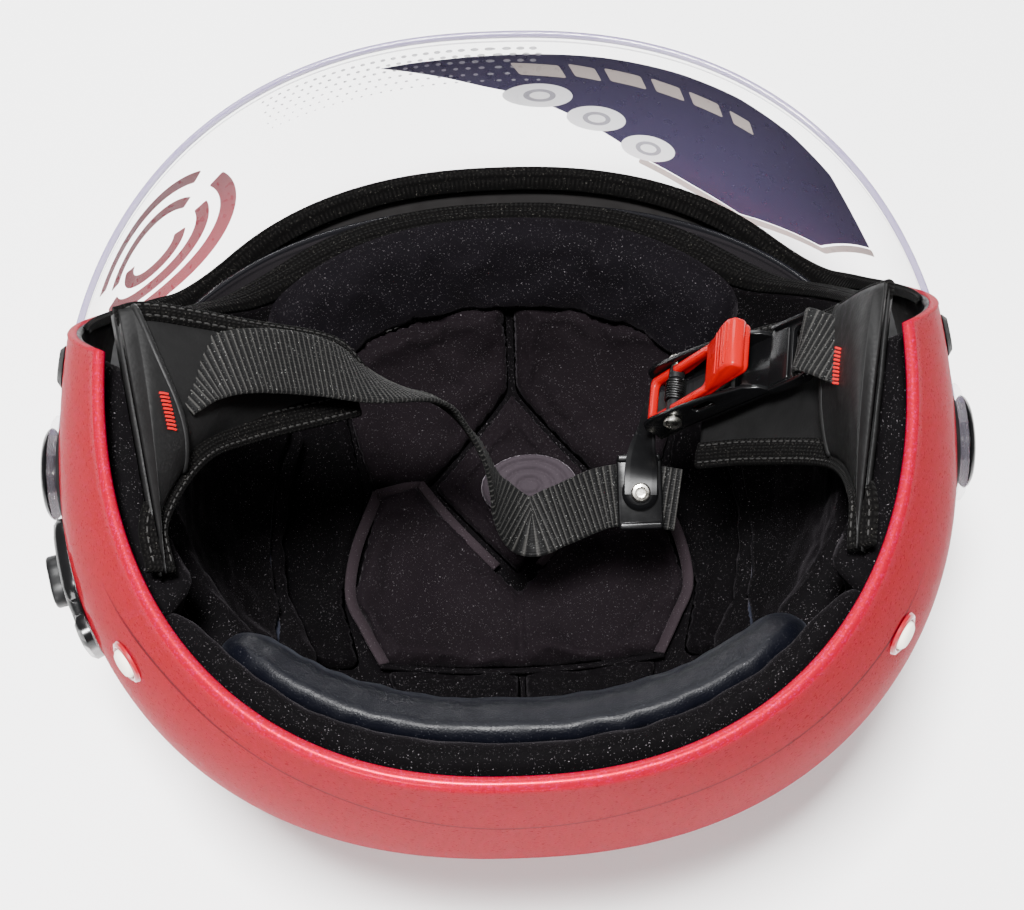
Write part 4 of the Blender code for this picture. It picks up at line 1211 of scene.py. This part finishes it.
def tape_stitches(name, places, normals, offset, lift, pitch, look=THREAD, thread=0.00026, slant=0.0):
    """Stitches along a tape, at an offset to one side of its middle."""
    parts = []
    lengths = np.cumsum([0] + [(b - a).length for a, b in zip(places, places[1:])])
    cloud = np.array([tuple(place) for place in places])
    facing = np.array([tuple(normal) for normal in normals])
    for stop in np.arange(pitch, lengths[-1] - pitch, pitch):
        ends = []
        for share, shift, rise in ((0.0, -0.5, 0.0), (0.3, 0.0, 0.0002), (0.6, 0.5, 0.0)):
            where = stop + pitch * share
            here = Vector([np.interp(where, lengths, cloud[:, k]) for k in range(3)])
            normal = Vector([np.interp(where, lengths, facing[:, k]) for k in range(3)]).normalized()
            index = min(int(np.searchsorted(lengths, where)), len(places) - 1)
            side = normal.cross(heading(places, index))
            ends.append(here + side * (offset + slant * shift) + normal * (lift + rise))
        parts.append(tube("stitch", ends, (ends[2] - ends[0]).orthogonal(), thread, 5))
    settle(joined(name, parts), "helmet", look, "webbing")


def bind_skirt(name, rails):
    """Knit tape with its rows of stitches along a skirt's front and rear edges."""
    for tag, v, width, rows in (("front", 0.015, 0.0058, (-0.27, 0.27)),
                                ("rear", 0.985, 0.0084, (-0.32, 0.0, 0.32))):
        places = [skirt_point(rails, u, v, 0.0010) for u in np.linspace(0.0, 1.0, 110)]
        normals = [skirt_facing(here).normalized() for here in places]
        binding("binding_" + tag + "_" + name, places, normals, width, 0.0036,
                ["skirt_binding_" + tag + "_" + name])
        for index, share in enumerate(rows):
            tape_stitches("stitches_" + tag + "_" + name + str(index), places, normals, share * width,
                          0.0014, 0.0026)


def build_skirts():
    for name, rails, edge, bartack in (
            ("right", (SKIRT_TOP_RIGHT, SKIRT_LOW_RIGHT), (0.13, 0.42), (0.84, 0.42, 0.68)),
            ("left", (SKIRT_TOP_LEFT, SKIRT_LOW_LEFT), (0.40, 0.50), (0.80, 0.28, 0.56))):
        def base(u, v, out):
            puff = 0.0016 * math.sin(math.pi * v) * math.sin(math.pi * min(u * 1.02, 1.0))
            crease = 0.0005 * noise.noise(Vector((u * 7, v * 5, len(name))))
            return skirt_point(rails, u, v, out + puff + crease)
        skirt = cloth_patch("skirt_" + name, base, 70, 36, 0.0022)
        settle(skirt, "helmet", LEATHERETTE, "leatherette", ["cheek_skirt_" + name])

        def panel(u, v, out):
            end = edge[0] + (edge[1] - edge[0]) * v + 0.035 * math.sin(math.pi * v)
            u = u * end
            rise = 0.0030 * math.sin(math.pi * v) ** 0.5 * min(u / 0.1, 1.0) if 0 < v < 1 else 0.0
            return skirt_point(rails, u, v, out + 0.0030 + rise)
        cover = cloth_patch("skirt_panel_" + name, panel, 50, 36, 0.0014)
        settle(cover, "helmet", LEATHERETTE, "leatherette")
        width = (Vector(rails[0][0]) - Vector(rails[1][0])).length

        fold = [panel(1.0, v, 0.0) for v in np.linspace(0.0, 1.0, 60)]
        hem = tube("skirt_hem_" + name, fold, (fold[1] - fold[0]).orthogonal(), 0.0011)
        settle(hem, "helmet", LEATHERETTE, "leatherette")

        bind_skirt(name, rails)
        bar, start, stop = bartack
        span = np.linspace(start, stop, 30)
        places = [panel(bar, v, 0.0009) for v in span]
        normals = [(panel(bar, v, 0.02) - panel(bar, v, 0.0)).normalized() for v in span]
        tape_stitches("bartack_" + name, places, normals, 0.0, 0.0003, 0.0011, THREAD_RED, 0.00035, 0.0026)


def webbing(name, stations):
    """Ribbed webbing, with crest values that say how far each place stands proud; the webbing look paints the
    crests lighter as a painted highlight.
    """
    path = even_curve([centre for centre, _ in stations], 0.00042)
    sides = curve_points([Vector(side).normalized() for _, side in stations], len(path))
    crests = []

    def ring(distance):
        wave = 0.5 + 0.5 * math.cos(2 * math.pi * distance / RIB_PITCH)
        shape = strip_ring(WEBBING_WIDTH, WEBBING_WALL * (0.78 + 0.42 * wave ** 1.5), 10)
        crests.extend([wave] * len(shape))
        return shape
    piece = sweep(name, path, sides, ring)
    attribute(piece, "crest", crests)
    return piece


def build_straps():
    long = webbing("chin_webbing_long", LONG_STRAP)
    long.data.materials.clear()
    long.data.materials.append(WEBBING)
    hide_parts("chin_strap_long", "chin_strap_end")
    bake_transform(long)
    short = webbing("chin_webbing_short", SHORT_STRAP)
    settle(short, "helmet", WEBBING, "webbing", ["chin_strap_short"])


# Buckle

def buckle_frame():
    """Local X runs from the buckle's mouth to its tail, and local Z out of its face."""
    side = BUCKLE_SIDE.normalized()
    return frame_of(PIN, BUCKLE_AXIS, side.cross(BUCKLE_AXIS))


def build_buckle_body():
    local = buckle_frame()
    half = 0.010  # of the width over the walls
    floor = [(-0.0120, -half), (0.0340, -half), (0.0400, -0.0112), (0.0500, -0.0112), (0.0520, -0.0095),
             (0.0520, 0.0095), (0.0500, 0.0112), (0.0400, 0.0112), (0.0340, half), (-0.0120, half),
             (-0.0120, 0.0087), (0.0022, 0.0087), (0.0022, -0.0087), (-0.0120, -0.0087)]
    slot = rectangle((0.0440, -0.0086), (0.0486, 0.0086), 0.0015)
    parts = [extruded("floor", floor, -0.0068, -0.0050, local, 0.0006, holes=[slot])]
    profile = [(-0.0116, -0.0062), (0.0360, -0.0062), (0.0340, -0.0020), (0.0300, 0.0010), (0.0180, 0.0030),
               (0.0060, 0.0042), (-0.0060, 0.0042), (-0.0100, 0.0030), (-0.0116, 0.0004)]
    window = rectangle((0.0090, -0.0014), (0.0170, 0.0016), 0.0013)
    bore = ellipse(0, 0, 0.0021, 0.0021, count=24)
    for side in (1, -1):
        low, high = sorted((side * (half - 0.0014), side * half))
        parts.append(extruded("wall", profile, low, high, local, 0.0004, "XZ", holes=[window, bore]))
    for y in (-0.0105, 0.0105):
        rib = rectangle((0.036, y - 0.0007), (0.0505, y + 0.0007), 0.0006)
        parts.append(extruded("rib", rib, -0.0055, -0.0034, local, 0.0003))
    bar = rectangle((0.0488, -0.0110), (0.0520, 0.0110), 0.0010)
    parts.append(extruded("bar", bar, -0.0066, -0.0036, local, 0.0007))
    step = rectangle((0.0355, -0.0090), (0.0432, 0.0090), 0.001)
    parts.append(extruded("step", step, -0.0056, -0.0040, local, 0.0005))
    settle(joined("buckle_housing", parts), "helmet", BLACK, "buckle_black", ["buckle_body"])


def build_lever_hinge():
    """The pin with its spring and sleeve."""
    local = buckle_frame()
    pin = [(0.0, -0.0122), (0.0020, -0.0122), (0.0028, -0.0116), (0.0028, -0.0104), (0.0018, -0.0103),
           (0.0018, 0.0103), (0.0028, 0.0104), (0.0028, 0.0116), (0.0020, 0.0122), (0.0, 0.0122)]
    settle(lathe("hinge_pin", pin, local, "Y", 40), "helmet", STEEL, "steel", ["lever_pin"])
    coil = []
    for k in range(241):
        turn = 2 * math.pi * k / 30
        coil.append(local @ Vector((0.0028 * math.cos(turn), -0.0034 + 0.0068 * k / 240,
                                    0.0028 * math.sin(turn))))
    spring = tube("torsion_spring", coil, local.col[1].to_3d(), 0.00042, 8)
    settle(spring, "helmet", DARK_STEEL, "steel", ["lever_spring"])
    sleeve = [(0.0019, -0.0076), (0.0024, -0.0076), (0.0025, -0.0040), (0.0020, -0.0038), (0.0020, 0.0038),
              (0.0025, 0.0040), (0.0024, 0.0076), (0.0019, 0.0076)]
    settle(lathe("pin_sleeve", sleeve, local, "Y", 40), "helmet", SATIN_BLACK, "buckle_black")


def build_lever():
    tilt = buckle_frame() @ Matrix.Rotation(math.radians(-8), 4, "Y")
    wide = 0.0082
    top = rectangle((-0.0112, -wide), (0.0365, wide), 0.0022)
    hole = rectangle((-0.0090, -0.0057), (0.0180, 0.0057), 0.0016)
    parts = [extruded("top", top, -0.0004, 0.0022, tilt, 0.0008, holes=[hole])]
    flange = [(-0.0105, -0.0014), (-0.0030, -0.0026), (0.0030, -0.0027), (0.0100, -0.0018), (0.0240, -0.0002),
              (0.0240, 0.0018), (-0.0105, 0.0018)]
    for side in (1, -1):
        low, high = sorted((side * (wide - 0.0018), side * wide))
        parts.append(extruded("flange", flange, low, high, tilt, 0.0005, "XZ"))
    grip = [(0.0180, 0.0000), (0.0240, -0.0006), (0.0355, 0.0004), (0.0372, 0.0026), (0.0366, 0.0058),
            (0.0340, 0.0068), (0.0300, 0.0060), (0.0230, 0.0034), (0.0180, 0.0022)]
    parts.append(extruded("grip", grip, -wide, wide, tilt, 0.0010, "XZ"))
    for k in range(4):
        x = 0.0262 + 0.0023 * k
        rise = 0.0046 + 0.0007 * k
        rib = [(x, rise - 0.0010), (x + 0.0010, rise - 0.0008), (x + 0.0008, rise + 0.0006),
               (x + 0.0002, rise + 0.0005)]
        parts.append(extruded("rib", rib, -0.0070, 0.0070, tilt, 0.0002, "XZ"))
    settle(joined("release_lever", parts), "buckle_lever", LEVER_RED, "lever_red", ["buckle_lever"])


def build_tongue():
    local = buckle_frame()
    side = -local.col[1].to_3d()
    inside_path = [(local @ Vector((x, 0, -0.0044)), side) for x in (0.022, 0.013, 0.004, -0.006, -0.0155)]
    outside = [((-0.0432, -0.0065, 0.1200), (-0.45, 0.75, 0.45)),
               ((-0.0420, 0.0005, 0.1115), (-0.95, 0.2, 0.1)), ((-0.0415, 0.0080, 0.1085), (-1.0, 0.0, 0.0))]
    stations = inside_path + [(Vector(place), Vector(turn)) for place, turn in outside]
    path = even_curve([place for place, _ in stations], 0.0003)
    sides = curve_points([turn for _, turn in stations], len(path))

    def toothed(distance):
        saw = (distance / 0.0022) % 1.0
        rise = 0.0007 * saw if 0.002 < distance < 0.030 else 0.0
        half, flat, wall = 0.00525, 0.00505, 0.0006
        return [(-half, 0), (-flat, wall), (-0.0036, wall), (-0.0034, wall + rise), (0.0034, wall + rise),
                (0.0036, wall), (flat, wall), (half, 0), (flat, -wall), (-flat, -wall)]
    strip = sweep("toothed_tongue", path, sides, toothed)
    settle(sharpen(strip, 30), "tongue", SATIN_BLACK, "buckle_black", ["ratchet_tongue"])


def build_strap_slider():
    plate = frame_of(Vector((-0.0415, 0.0058, 0.1050)), (-1, 0, 0), (0, 0.36, 0.93))
    outline = rectangle((-0.0072, -0.0122), (0.0072, 0.0122), 0.0026)
    parts = [extruded("plate", outline, -0.0010, 0.0012, plate, 0.0006)]
    for y in (-0.0108, 0.0108):
        bar = rectangle((-0.0070, y - 0.0012), (0.0070, y + 0.0012), 0.0010)
        parts.append(extruded("bar", bar, 0.0004, 0.0022, plate, 0.0007))
    boss = [(0.0022, 0.0008), (0.0058, 0.0008), (0.0058, 0.0030), (0.0050, 0.0038), (0.0036, 0.0040),
            (0.0022, 0.0040)]
    parts.append(lathe("boss", boss, plate, "Z", 48))
    settle(joined("slider_plate", parts), "tongue", BLACK, "buckle_black", ["strap_slider"])
    rivet = [(0.0, -0.0014), (0.0017, -0.0014), (0.0017, 0.0044), (0.0030, 0.0046), (0.0031, 0.0054),
             (0.0026, 0.0061), (0.0018, 0.0063), (0.0015, 0.0059), (0.0009, 0.0058), (0.0, 0.0060)]
    settle(lathe("tongue_rivet", rivet, plate, "Z", 40), "tongue", STEEL, "steel", ["slider_rivet"])


def rivet_frame(side):
    place = wall_point(RIVET_ANGLE, RIVET_HEIGHT, 0)
    along = wall_point(RIVET_ANGLE + 0.5, RIVET_HEIGHT, 0) - place
    up = wall_point(RIVET_ANGLE, RIVET_HEIGHT + 0.001, 0) - place
    out = along.cross(up).normalized()
    return frame_of(Vector((side * place.x, place.y, place.z)), (side * along.x, along.y, along.z),
                    (side * out.x, out.y, out.z))


def build_anchors():
    for side, name in SIDES:
        local = rivet_frame(side)
        plug = [(0.0, -0.0090), (0.0021, -0.0090), (0.0021, -0.0002), (0.0038, 0.0000), (0.0043, 0.0006),
                (0.0041, 0.0014), (0.0033, 0.0021), (0.0018, 0.0024), (0.0, 0.0025)]
        settle(lathe("anchor_plug_" + name, plug, local), "helmet", CREAM, "rivet_cream",
               ["strap_anchor_rivet_" + name])
        ring = [(0.0044, 0.0002), (0.0049, 0.0009), (0.0054, 0.0010), (0.0061, 0.0006), (0.0064, -0.0002),
                (0.0044, -0.0008)]
        settle(lathe("plug_ring_" + name, ring, local), "helmet", RING_RED, "shell_paint")


# Visor and sun shield

def swept_point(t, turn, reach, half_width):
    across = math.sin(math.radians(t))
    out = max(math.cos(math.radians(t)), 0.0)
    x = math.copysign(half_width * abs(across) ** (2 / PLAN_POWER), across)
    radius = reach * out ** (2 / PLAN_POWER)
    angle = math.radians(turn)
    return Vector((x, PIVOT_Y - radius * math.cos(angle), PIVOT_Z - radius * math.sin(angle)))


def lens(name, reach, half_width, wall, first, last, columns, rows):
    """A curved lens with rounded edges; edge gives how near a place is to the lens's rim."""
    limit = 86.5
    points, edge = [], []
    turns = (0.6, 1.2, math.pi / 2, 1.9, 2.5)
    depth = math.radians(last - first) * reach
    tip = wall / 2 / depth
    profile = [(v, wall / 2) for v in np.linspace(0, 1, rows + 1)]
    profile += [(1 + tip * math.sin(a), wall / 2 * math.cos(a)) for a in turns]
    profile += [(v, -wall / 2) for v in np.linspace(1, 0, rows + 1)]
    profile += [(-tip * math.sin(a), -wall / 2 * math.cos(a)) for a in turns]
    for i in range(columns + 1):
        t = -limit + 2 * limit * i / columns
        for v, out in profile:
            level = out - wall / 2
            points.append(swept_point(t, first + (last - first) * v, reach + level, half_width + level))
            edge.append(min(v, 1 - v) * depth)
    return outward(add_mesh(name, points, tube_faces(columns + 1, len(profile)))), edge


def x_frame(side):
    """Local Z points out of the helmet's side along the shields' axis."""
    return frame_of(Vector((0.0, PIVOT_Y, PIVOT_Z)), (0, 1, 0), (side, 0, 0))


def arm_disc(side, radius, bore, low, high):
    bevel = 0.0004
    return lathe("disc", [(bore, low), (radius - bevel, low), (radius, low + bevel), (radius, high - bevel),
                          (radius - bevel, high), (bore, high)], x_frame(side), "Z", 72)


def lens_with_arms(name, reach, half_width, wall, first, last, columns, rows, radius, bore, look, slot, body):
    piece, edge = lens(name + "_lens", reach, half_width, wall, first, last, columns, rows)
    parts = [piece]
    for side in (1, -1):
        parts.append(arm_disc(side, radius, bore, half_width - wall - 0.0008, half_width - 0.0008))
    count = len(edge)
    whole = joined(name + "_clear", parts)
    edge += [0.0012] * (len(whole.data.vertices) - count)
    attribute(whole, "rim", edge)
    settle(whole, body, look, slot, [name])
    return whole


def print_patch(name, outline, look, layers=(0.0004,), step=1.1):
    """A thin printed shape on the visor's outer face, drawn in degrees across and round the lens.

    A shape on top of another has a layer on each side of it, so that it shows from inside too.
    """
    shape = rounded_outline(outline, 0.4, step)
    flat, _, faces = filled([shape], within(square_grid(shape, step), shape, step * 0.4))
    points, made = [], []
    for out in layers:
        made += [tuple(k + len(points) for k in face) for face in faces]
        points += [swept_point(x, y, VISOR_REACH + out, VISOR_HALF_WIDTH + out) for x, y in flat]
    settle(add_mesh(name, points, made), "visor", look, "visor_clear")


OVER_AND_UNDER = (0.0002, 0.0006)
LABEL = [(13, 1), (5, 1), (-2, 0.6), (-12, 0.4), (-23, 0.6), (-32, 1.2), (-41, 3), (-49, 6), (-59, 16),
         (-49, 26), (-34, 27), (-26, 24), (-18, 20.5), (-11, 15.5), (-2, 9.6), (4.5, 5.6)]


def arc_band(x, y, rx, ry, width, start, end):
    """A curved stroke that tapers at both ends."""
    outer = ellipse(x, y, rx, ry, start, end)
    inner = ellipse(x, y, rx - width, ry - width, start, end)
    return outer + inner[::-1]


PRINT_EDGE = [(-59.4, 16), (-60.4, 17), (-50.2, 27.2), (-34, 28.4), (-25.6, 25.2), (-17.6, 21.7), (-18, 20.7),
              (-26, 24.2), (-34, 27.2), (-49.4, 26.2)]
BARS = ((-4.5, 3.2), (-10, 2.2), (-15.4, 3.0), (-21.4, 2.6), (-27.2, 2.8), (-33, 2.2))
OVALS = ((-4.5, 9.8), (-11.7, 14.0), (-19.1, 18.6))
ARCS = ((1.0, 3.0, 20, 205), (0.70, 2.6, 0, 190), (0.42, 2.4, -30, 170), (1.0, 2.4, 225, 320),
        (0.66, 2.2, 215, 335))


def build_prints():
    """Plain printed shapes on the visor: a dark label, bars, ovals, dots and nested arcs."""
    print_patch("print_label", LABEL, PRINT_VIOLET)
    print_patch("print_border", PRINT_EDGE, PRINT_BEIGE, step=1.0)
    for index, (x, width) in enumerate(BARS):
        y = 3.6 + 0.0035 * (x + 5) ** 2
        bar = [(x + width, y - 1.1), (x + width - 1, y + 1.7), (x - width, y + 2.3), (x - width + 1, y - 0.5)]
        print_patch("print_bar_" + str(index), bar, PRINT_BEIGE, OVER_AND_UNDER, 1.0)
    for index, (x, y) in enumerate(OVALS):
        print_patch("print_oval_" + str(index), ellipse(x, y, 4.0, 2.5), PRINT_WHITE, OVER_AND_UNDER, 0.9)
        print_patch("print_ring_" + str(index), ellipse(x, y, 1.9, 1.35), PRINT_GREY, (0.00015, 0.00065), 0.7)
        print_patch("print_eye_" + str(index), ellipse(x, y, 1.2, 0.8), PRINT_WHITE, (0.0001, 0.0007), 0.6)
    dots = []
    for row in range(6):
        for k in range(26):
            x = 30 - 1.35 * k - 0.6 * (row % 2)
            size = 0.46 * (1 - 0.10 * row) * (0.55 + 0.45 * k / 26)
            points = [swept_point(a, b, VISOR_REACH + 0.0003, VISOR_HALF_WIDTH + 0.0003)
                      for a, b in ellipse(x, -1.0 + 1.5 * row, size, size, count=10)]
            dots.append(add_mesh("dot", points, [tuple(range(10))]))
    settle(joined("print_dots", dots), "visor", PRINT_GREY, "visor_clear")
    for index, (reach, width, start, end) in enumerate(ARCS):
        shape = arc_band(54, 16, 17 * reach, 13.5 * reach, width, start, end)
        print_patch("print_arc_" + str(index), shape, PRINT_RED, step=1.0)


def build_visor():
    lens_with_arms("visor", VISOR_REACH, VISOR_HALF_WIDTH, VISOR_WALL, VISOR_CHIN, VISOR_TOP, 150, 44,
                   0.018, 0.0062, CLEAR, "visor_clear", "visor")
    lens_with_arms("sun_shield", SHIELD_REACH, SHIELD_HALF_WIDTH, SHIELD_WALL, SHIELD_EDGE, SHIELD_TOP,
                   110, 30, 0.014, 0.0052, SMOKE, "shield_tint", "sun_shield")


PIVOT_PARTS = (
    ("hinge_base_", "pivot_base_", SATIN_BLACK, "black_plastic", 64,
     ((0.0022, 0.1339), (0.0168, 0.1339), (0.0171, 0.1343), (0.0168, 0.1352), (0.0060, 0.1353),
      (0.0058, 0.1382), (0.0022, 0.1383))),
    ("hinge_cap_", "pivot_cap_", BLACK, "black_plastic", 96,
     ((0.0022, 0.1388), (0.0138, 0.1388), (0.0142, 0.1392), (0.0139, 0.1399), (0.0128, 0.1406),
      (0.0104, 0.1412), (0.0070, 0.1413), (0.0047, 0.1412), (0.0043, 0.1408), (0.0042, 0.1401),
      (0.0022, 0.1401))),
    ("hinge_screw_", "pivot_screw_", STEEL, "steel", 40,
     ((0.0, 0.1364), (0.0018, 0.1364), (0.0018, 0.1402), (0.0036, 0.1402), (0.0039, 0.1405),
      (0.0036, 0.1411), (0.0024, 0.1413), (0.0, 0.1413))),
    ("shield_hinge_pin_", "shield_pin_", SATIN_BLACK, "black_plastic", 40,
     ((0.0, 0.1175), (0.0046, 0.1175), (0.0048, 0.1178), (0.0048, 0.1262), (0.0044, 0.1265), (0.0, 0.1265))),
)
BUMPER = ((0, 0), (1, 0), (1.15, 0.4), (1, 1), (0.1, 1), (-0.1, 0.5))


def build_pivots():
    for side, name in SIDES:
        for start, node, look, slot, sides, profile in PIVOT_PARTS:
            turned = lathe(start + name, profile, x_frame(side), "Z", sides)
            settle(turned, "helmet", look, slot, [node + name])
        outline = rounded_outline(BUMPER, 0.25, 0.2)
        points = []
        for depth, shrink in ((-0.0005, 0.8), (-0.0019, 0.6)):
            for u, v in outline:
                u, v = 0.5 + (u - 0.5) * shrink, 0.5 + (v - 0.5) * shrink
                spot = wall_point(-9 + 5 * u, 0.158 + 0.012 * v, depth)
                points.append(Vector((side * spot.x, spot.y, spot.z)))
        block = sharpen(outward(add_mesh("stop_" + name, points, tube_faces(2, len(outline)))), 50)
        settle(block, "helmet", RUBBER, "rubber_black", ["visor_bumper_" + name])


def lever_place(travel):
    return wall_point(14.5, 0.1365, 0) + LEVER_DIRECTION * travel


def wall_plate(name, outline, hole, levels, bevel_in):
    """A plate that follows the wall, with rounded outer edges, drawn in wall coordinates."""
    step, clear = 0.0016, 0.0008
    inner = within(square_grid(outline, step), outline, clear)
    inner = inner[(distance_to(inner, looped(hole)) > clear) & ~inside(inner, hole)]
    flat, edges, cap = filled([outline, hole], inner)
    near = distance_to(flat, looped(outline))
    bottom, top = levels
    points = [wall_point(x / WALL_SCALE, y, bottom) for x, y in flat]
    for (x, y), gap in zip(flat, near):
        drop = bevel_in * max(1 - gap / step, 0.0) ** 2
        points.append(wall_point(x / WALL_SCALE, y, top + drop))
    total = len(flat)
    faces = [tuple(reversed(face)) for face in cap] + [tuple(k + total for k in face) for face in cap]
    faces += [(a, b, b + total, a + total) for a, b in edges]
    return sharpen(outward(add_mesh(name, points, faces)), 50)


def build_sun_slider():
    """The J-shaped plate and the two-lobed knob that work the sun shield."""
    outline = [(7.6, 0.1275), (23.0, 0.1255), (25.8, 0.1285), (26.2, 0.1440), (25.2, 0.1485), (21.8, 0.1490),
               (21.0, 0.1462), (22.6, 0.1440), (23.2, 0.1415), (21.4, 0.1400), (19.0, 0.1455), (17.4, 0.1480),
               (9.4, 0.1480), (7.4, 0.1450)]
    shape = rounded_outline(wall_corners(outline), 0.0024, 0.0010)
    slot = rectangle((12.6 * WALL_SCALE, 0.1342), (23.1 * WALL_SCALE, 0.1388), 0.0018)
    plate = wall_plate("slider_track", shape, slot, (-0.0006, -0.0042), 0.0014)
    settle(plate, "helmet", BLACK, "black_plastic", ["sun_lever_plate"])

    along = (lever_place(0.018) - lever_place(-0.004)).normalized()
    local = frame_of(lever_place(0), along, (1, 0.2, 0))
    lobes = []
    for k in range(72):
        turn = 2 * math.pi * k / 72
        x, y = math.cos(turn), math.sin(turn)
        waist = 1 - 0.13 * math.exp(-(x / 0.40) ** 2)
        lobes.append((0.0080 * x, 0.0058 * math.copysign(abs(y) ** 0.8, y) * waist))
    parts = [extruded("lobes", lobes, 0.0040, 0.0082, local, 0.0009)]
    stem = rectangle((-0.0019, -0.0017), (0.0019, 0.0017), 0.0005)
    parts.append(extruded("stem", stem, 0.0007, 0.0046, local, 0.0002))
    settle(joined("slider_knob", parts), "sun_lever", SATIN_BLACK, "black_plastic", ["sun_lever_knob"])


# Whole scene

FLOOR_SIZE = 16.0
WORLD_STRENGTH = 0.46
# name, place, target, side of its square, watts
LAMPS = (("key", (0.10, 0.10, 1.7), (0.0, 0.0, 0.12), 0.30, 124.0),
         ("front", (0.3, -1.3, 1.1), (0.0, -0.02, 0.1), 0.9, 22.0),
         ("rear", (0.5, 1.3, 0.8), (0.0, 0.05, 0.12), 0.5, 20.0))


def build_stage():
    bpy.ops.mesh.primitive_plane_add(size=FLOOR_SIZE, location=(0, 0, 0))
    floor = bpy.context.object
    floor.name = "floor"
    look = Look("pale_floor", (0.93, 0.93, 0.93), 0.75, Specular_IOR_Level=0.2)
    look.tint(look.noise(3.0), (0.95, 0.945, 0.94), 0.4)
    floor.data.materials.append(look.material)
    world = bpy.data.worlds.new("studio")
    bpy.context.scene.world = world
    world.use_nodes = True
    background = world.node_tree.nodes["Background"]
    background.inputs["Color"].default_value = (1.0, 1.0, 1.0, 1.0)
    background.inputs["Strength"].default_value = WORLD_STRENGTH
    for name, place, target, size, power in LAMPS:
        data = bpy.data.lights.new(name, "AREA")
        data.size = size
        data.energy = power
        lamp = bpy.data.objects.new(name, data)
        bpy.context.scene.collection.objects.link(lamp)
        lamp.location = place
        lamp.rotation_euler = (Vector(target) - Vector(place)).to_track_quat("-Z", "Y").to_euler()


CAMERA_BACK = Vector((0.0006, 0.3482, 0.9374)).normalized()
CAMERA_TARGET = Vector((-0.00126, -0.03562, 0.03133)) + SHIFT
CAMERA_DISTANCE, CAMERA_LENS, CAMERA_ROLL = 0.7496, 73.47, math.radians(-1.97)


def build_camera():
    """The main view: from above and a little behind, rolled slightly."""
    right = -CAMERA_BACK.cross(Vector((0, 0, 1))).normalized()
    up = CAMERA_BACK.cross(right)
    across = right * math.cos(CAMERA_ROLL) + up * math.sin(CAMERA_ROLL)
    above = -right * math.sin(CAMERA_ROLL) + up * math.cos(CAMERA_ROLL)
    data = bpy.data.cameras.new("main_view")
    data.lens = CAMERA_LENS
    data.sensor_width = 36.0
    camera = bpy.data.objects.new("main_view", data)
    bpy.context.scene.collection.objects.link(camera)
    pose = Matrix.Identity(4)
    for index, column in enumerate((across, above, CAMERA_BACK)):
        pose.col[index][:3] = column
    pose.translation = CAMERA_TARGET + CAMERA_BACK * CAMERA_DISTANCE
    camera.matrix_world = pose
    bpy.context.scene.camera = camera


CARRIED = {"eps_liner": FOAM, "strap_anchor_plate_right": STEEL, "strap_anchor_plate_left": STEEL}


def main():
    build_shell()
    build_lining()
    build_brow()
    build_crown()
    build_walls()
    build_neck()
    build_skirts()
    build_straps()
    build_buckle_body()
    build_lever_hinge()
    build_lever()
    build_tongue()
    build_strap_slider()
    build_anchors()
    build_visor()
    build_prints()
    build_pivots()
    build_sun_slider()
    for node, look in CARRIED.items():
        carried = bpy.data.objects[node].data.materials
        carried.clear()
        carried.append(look)
    build_stage()
    build_camera()


main()
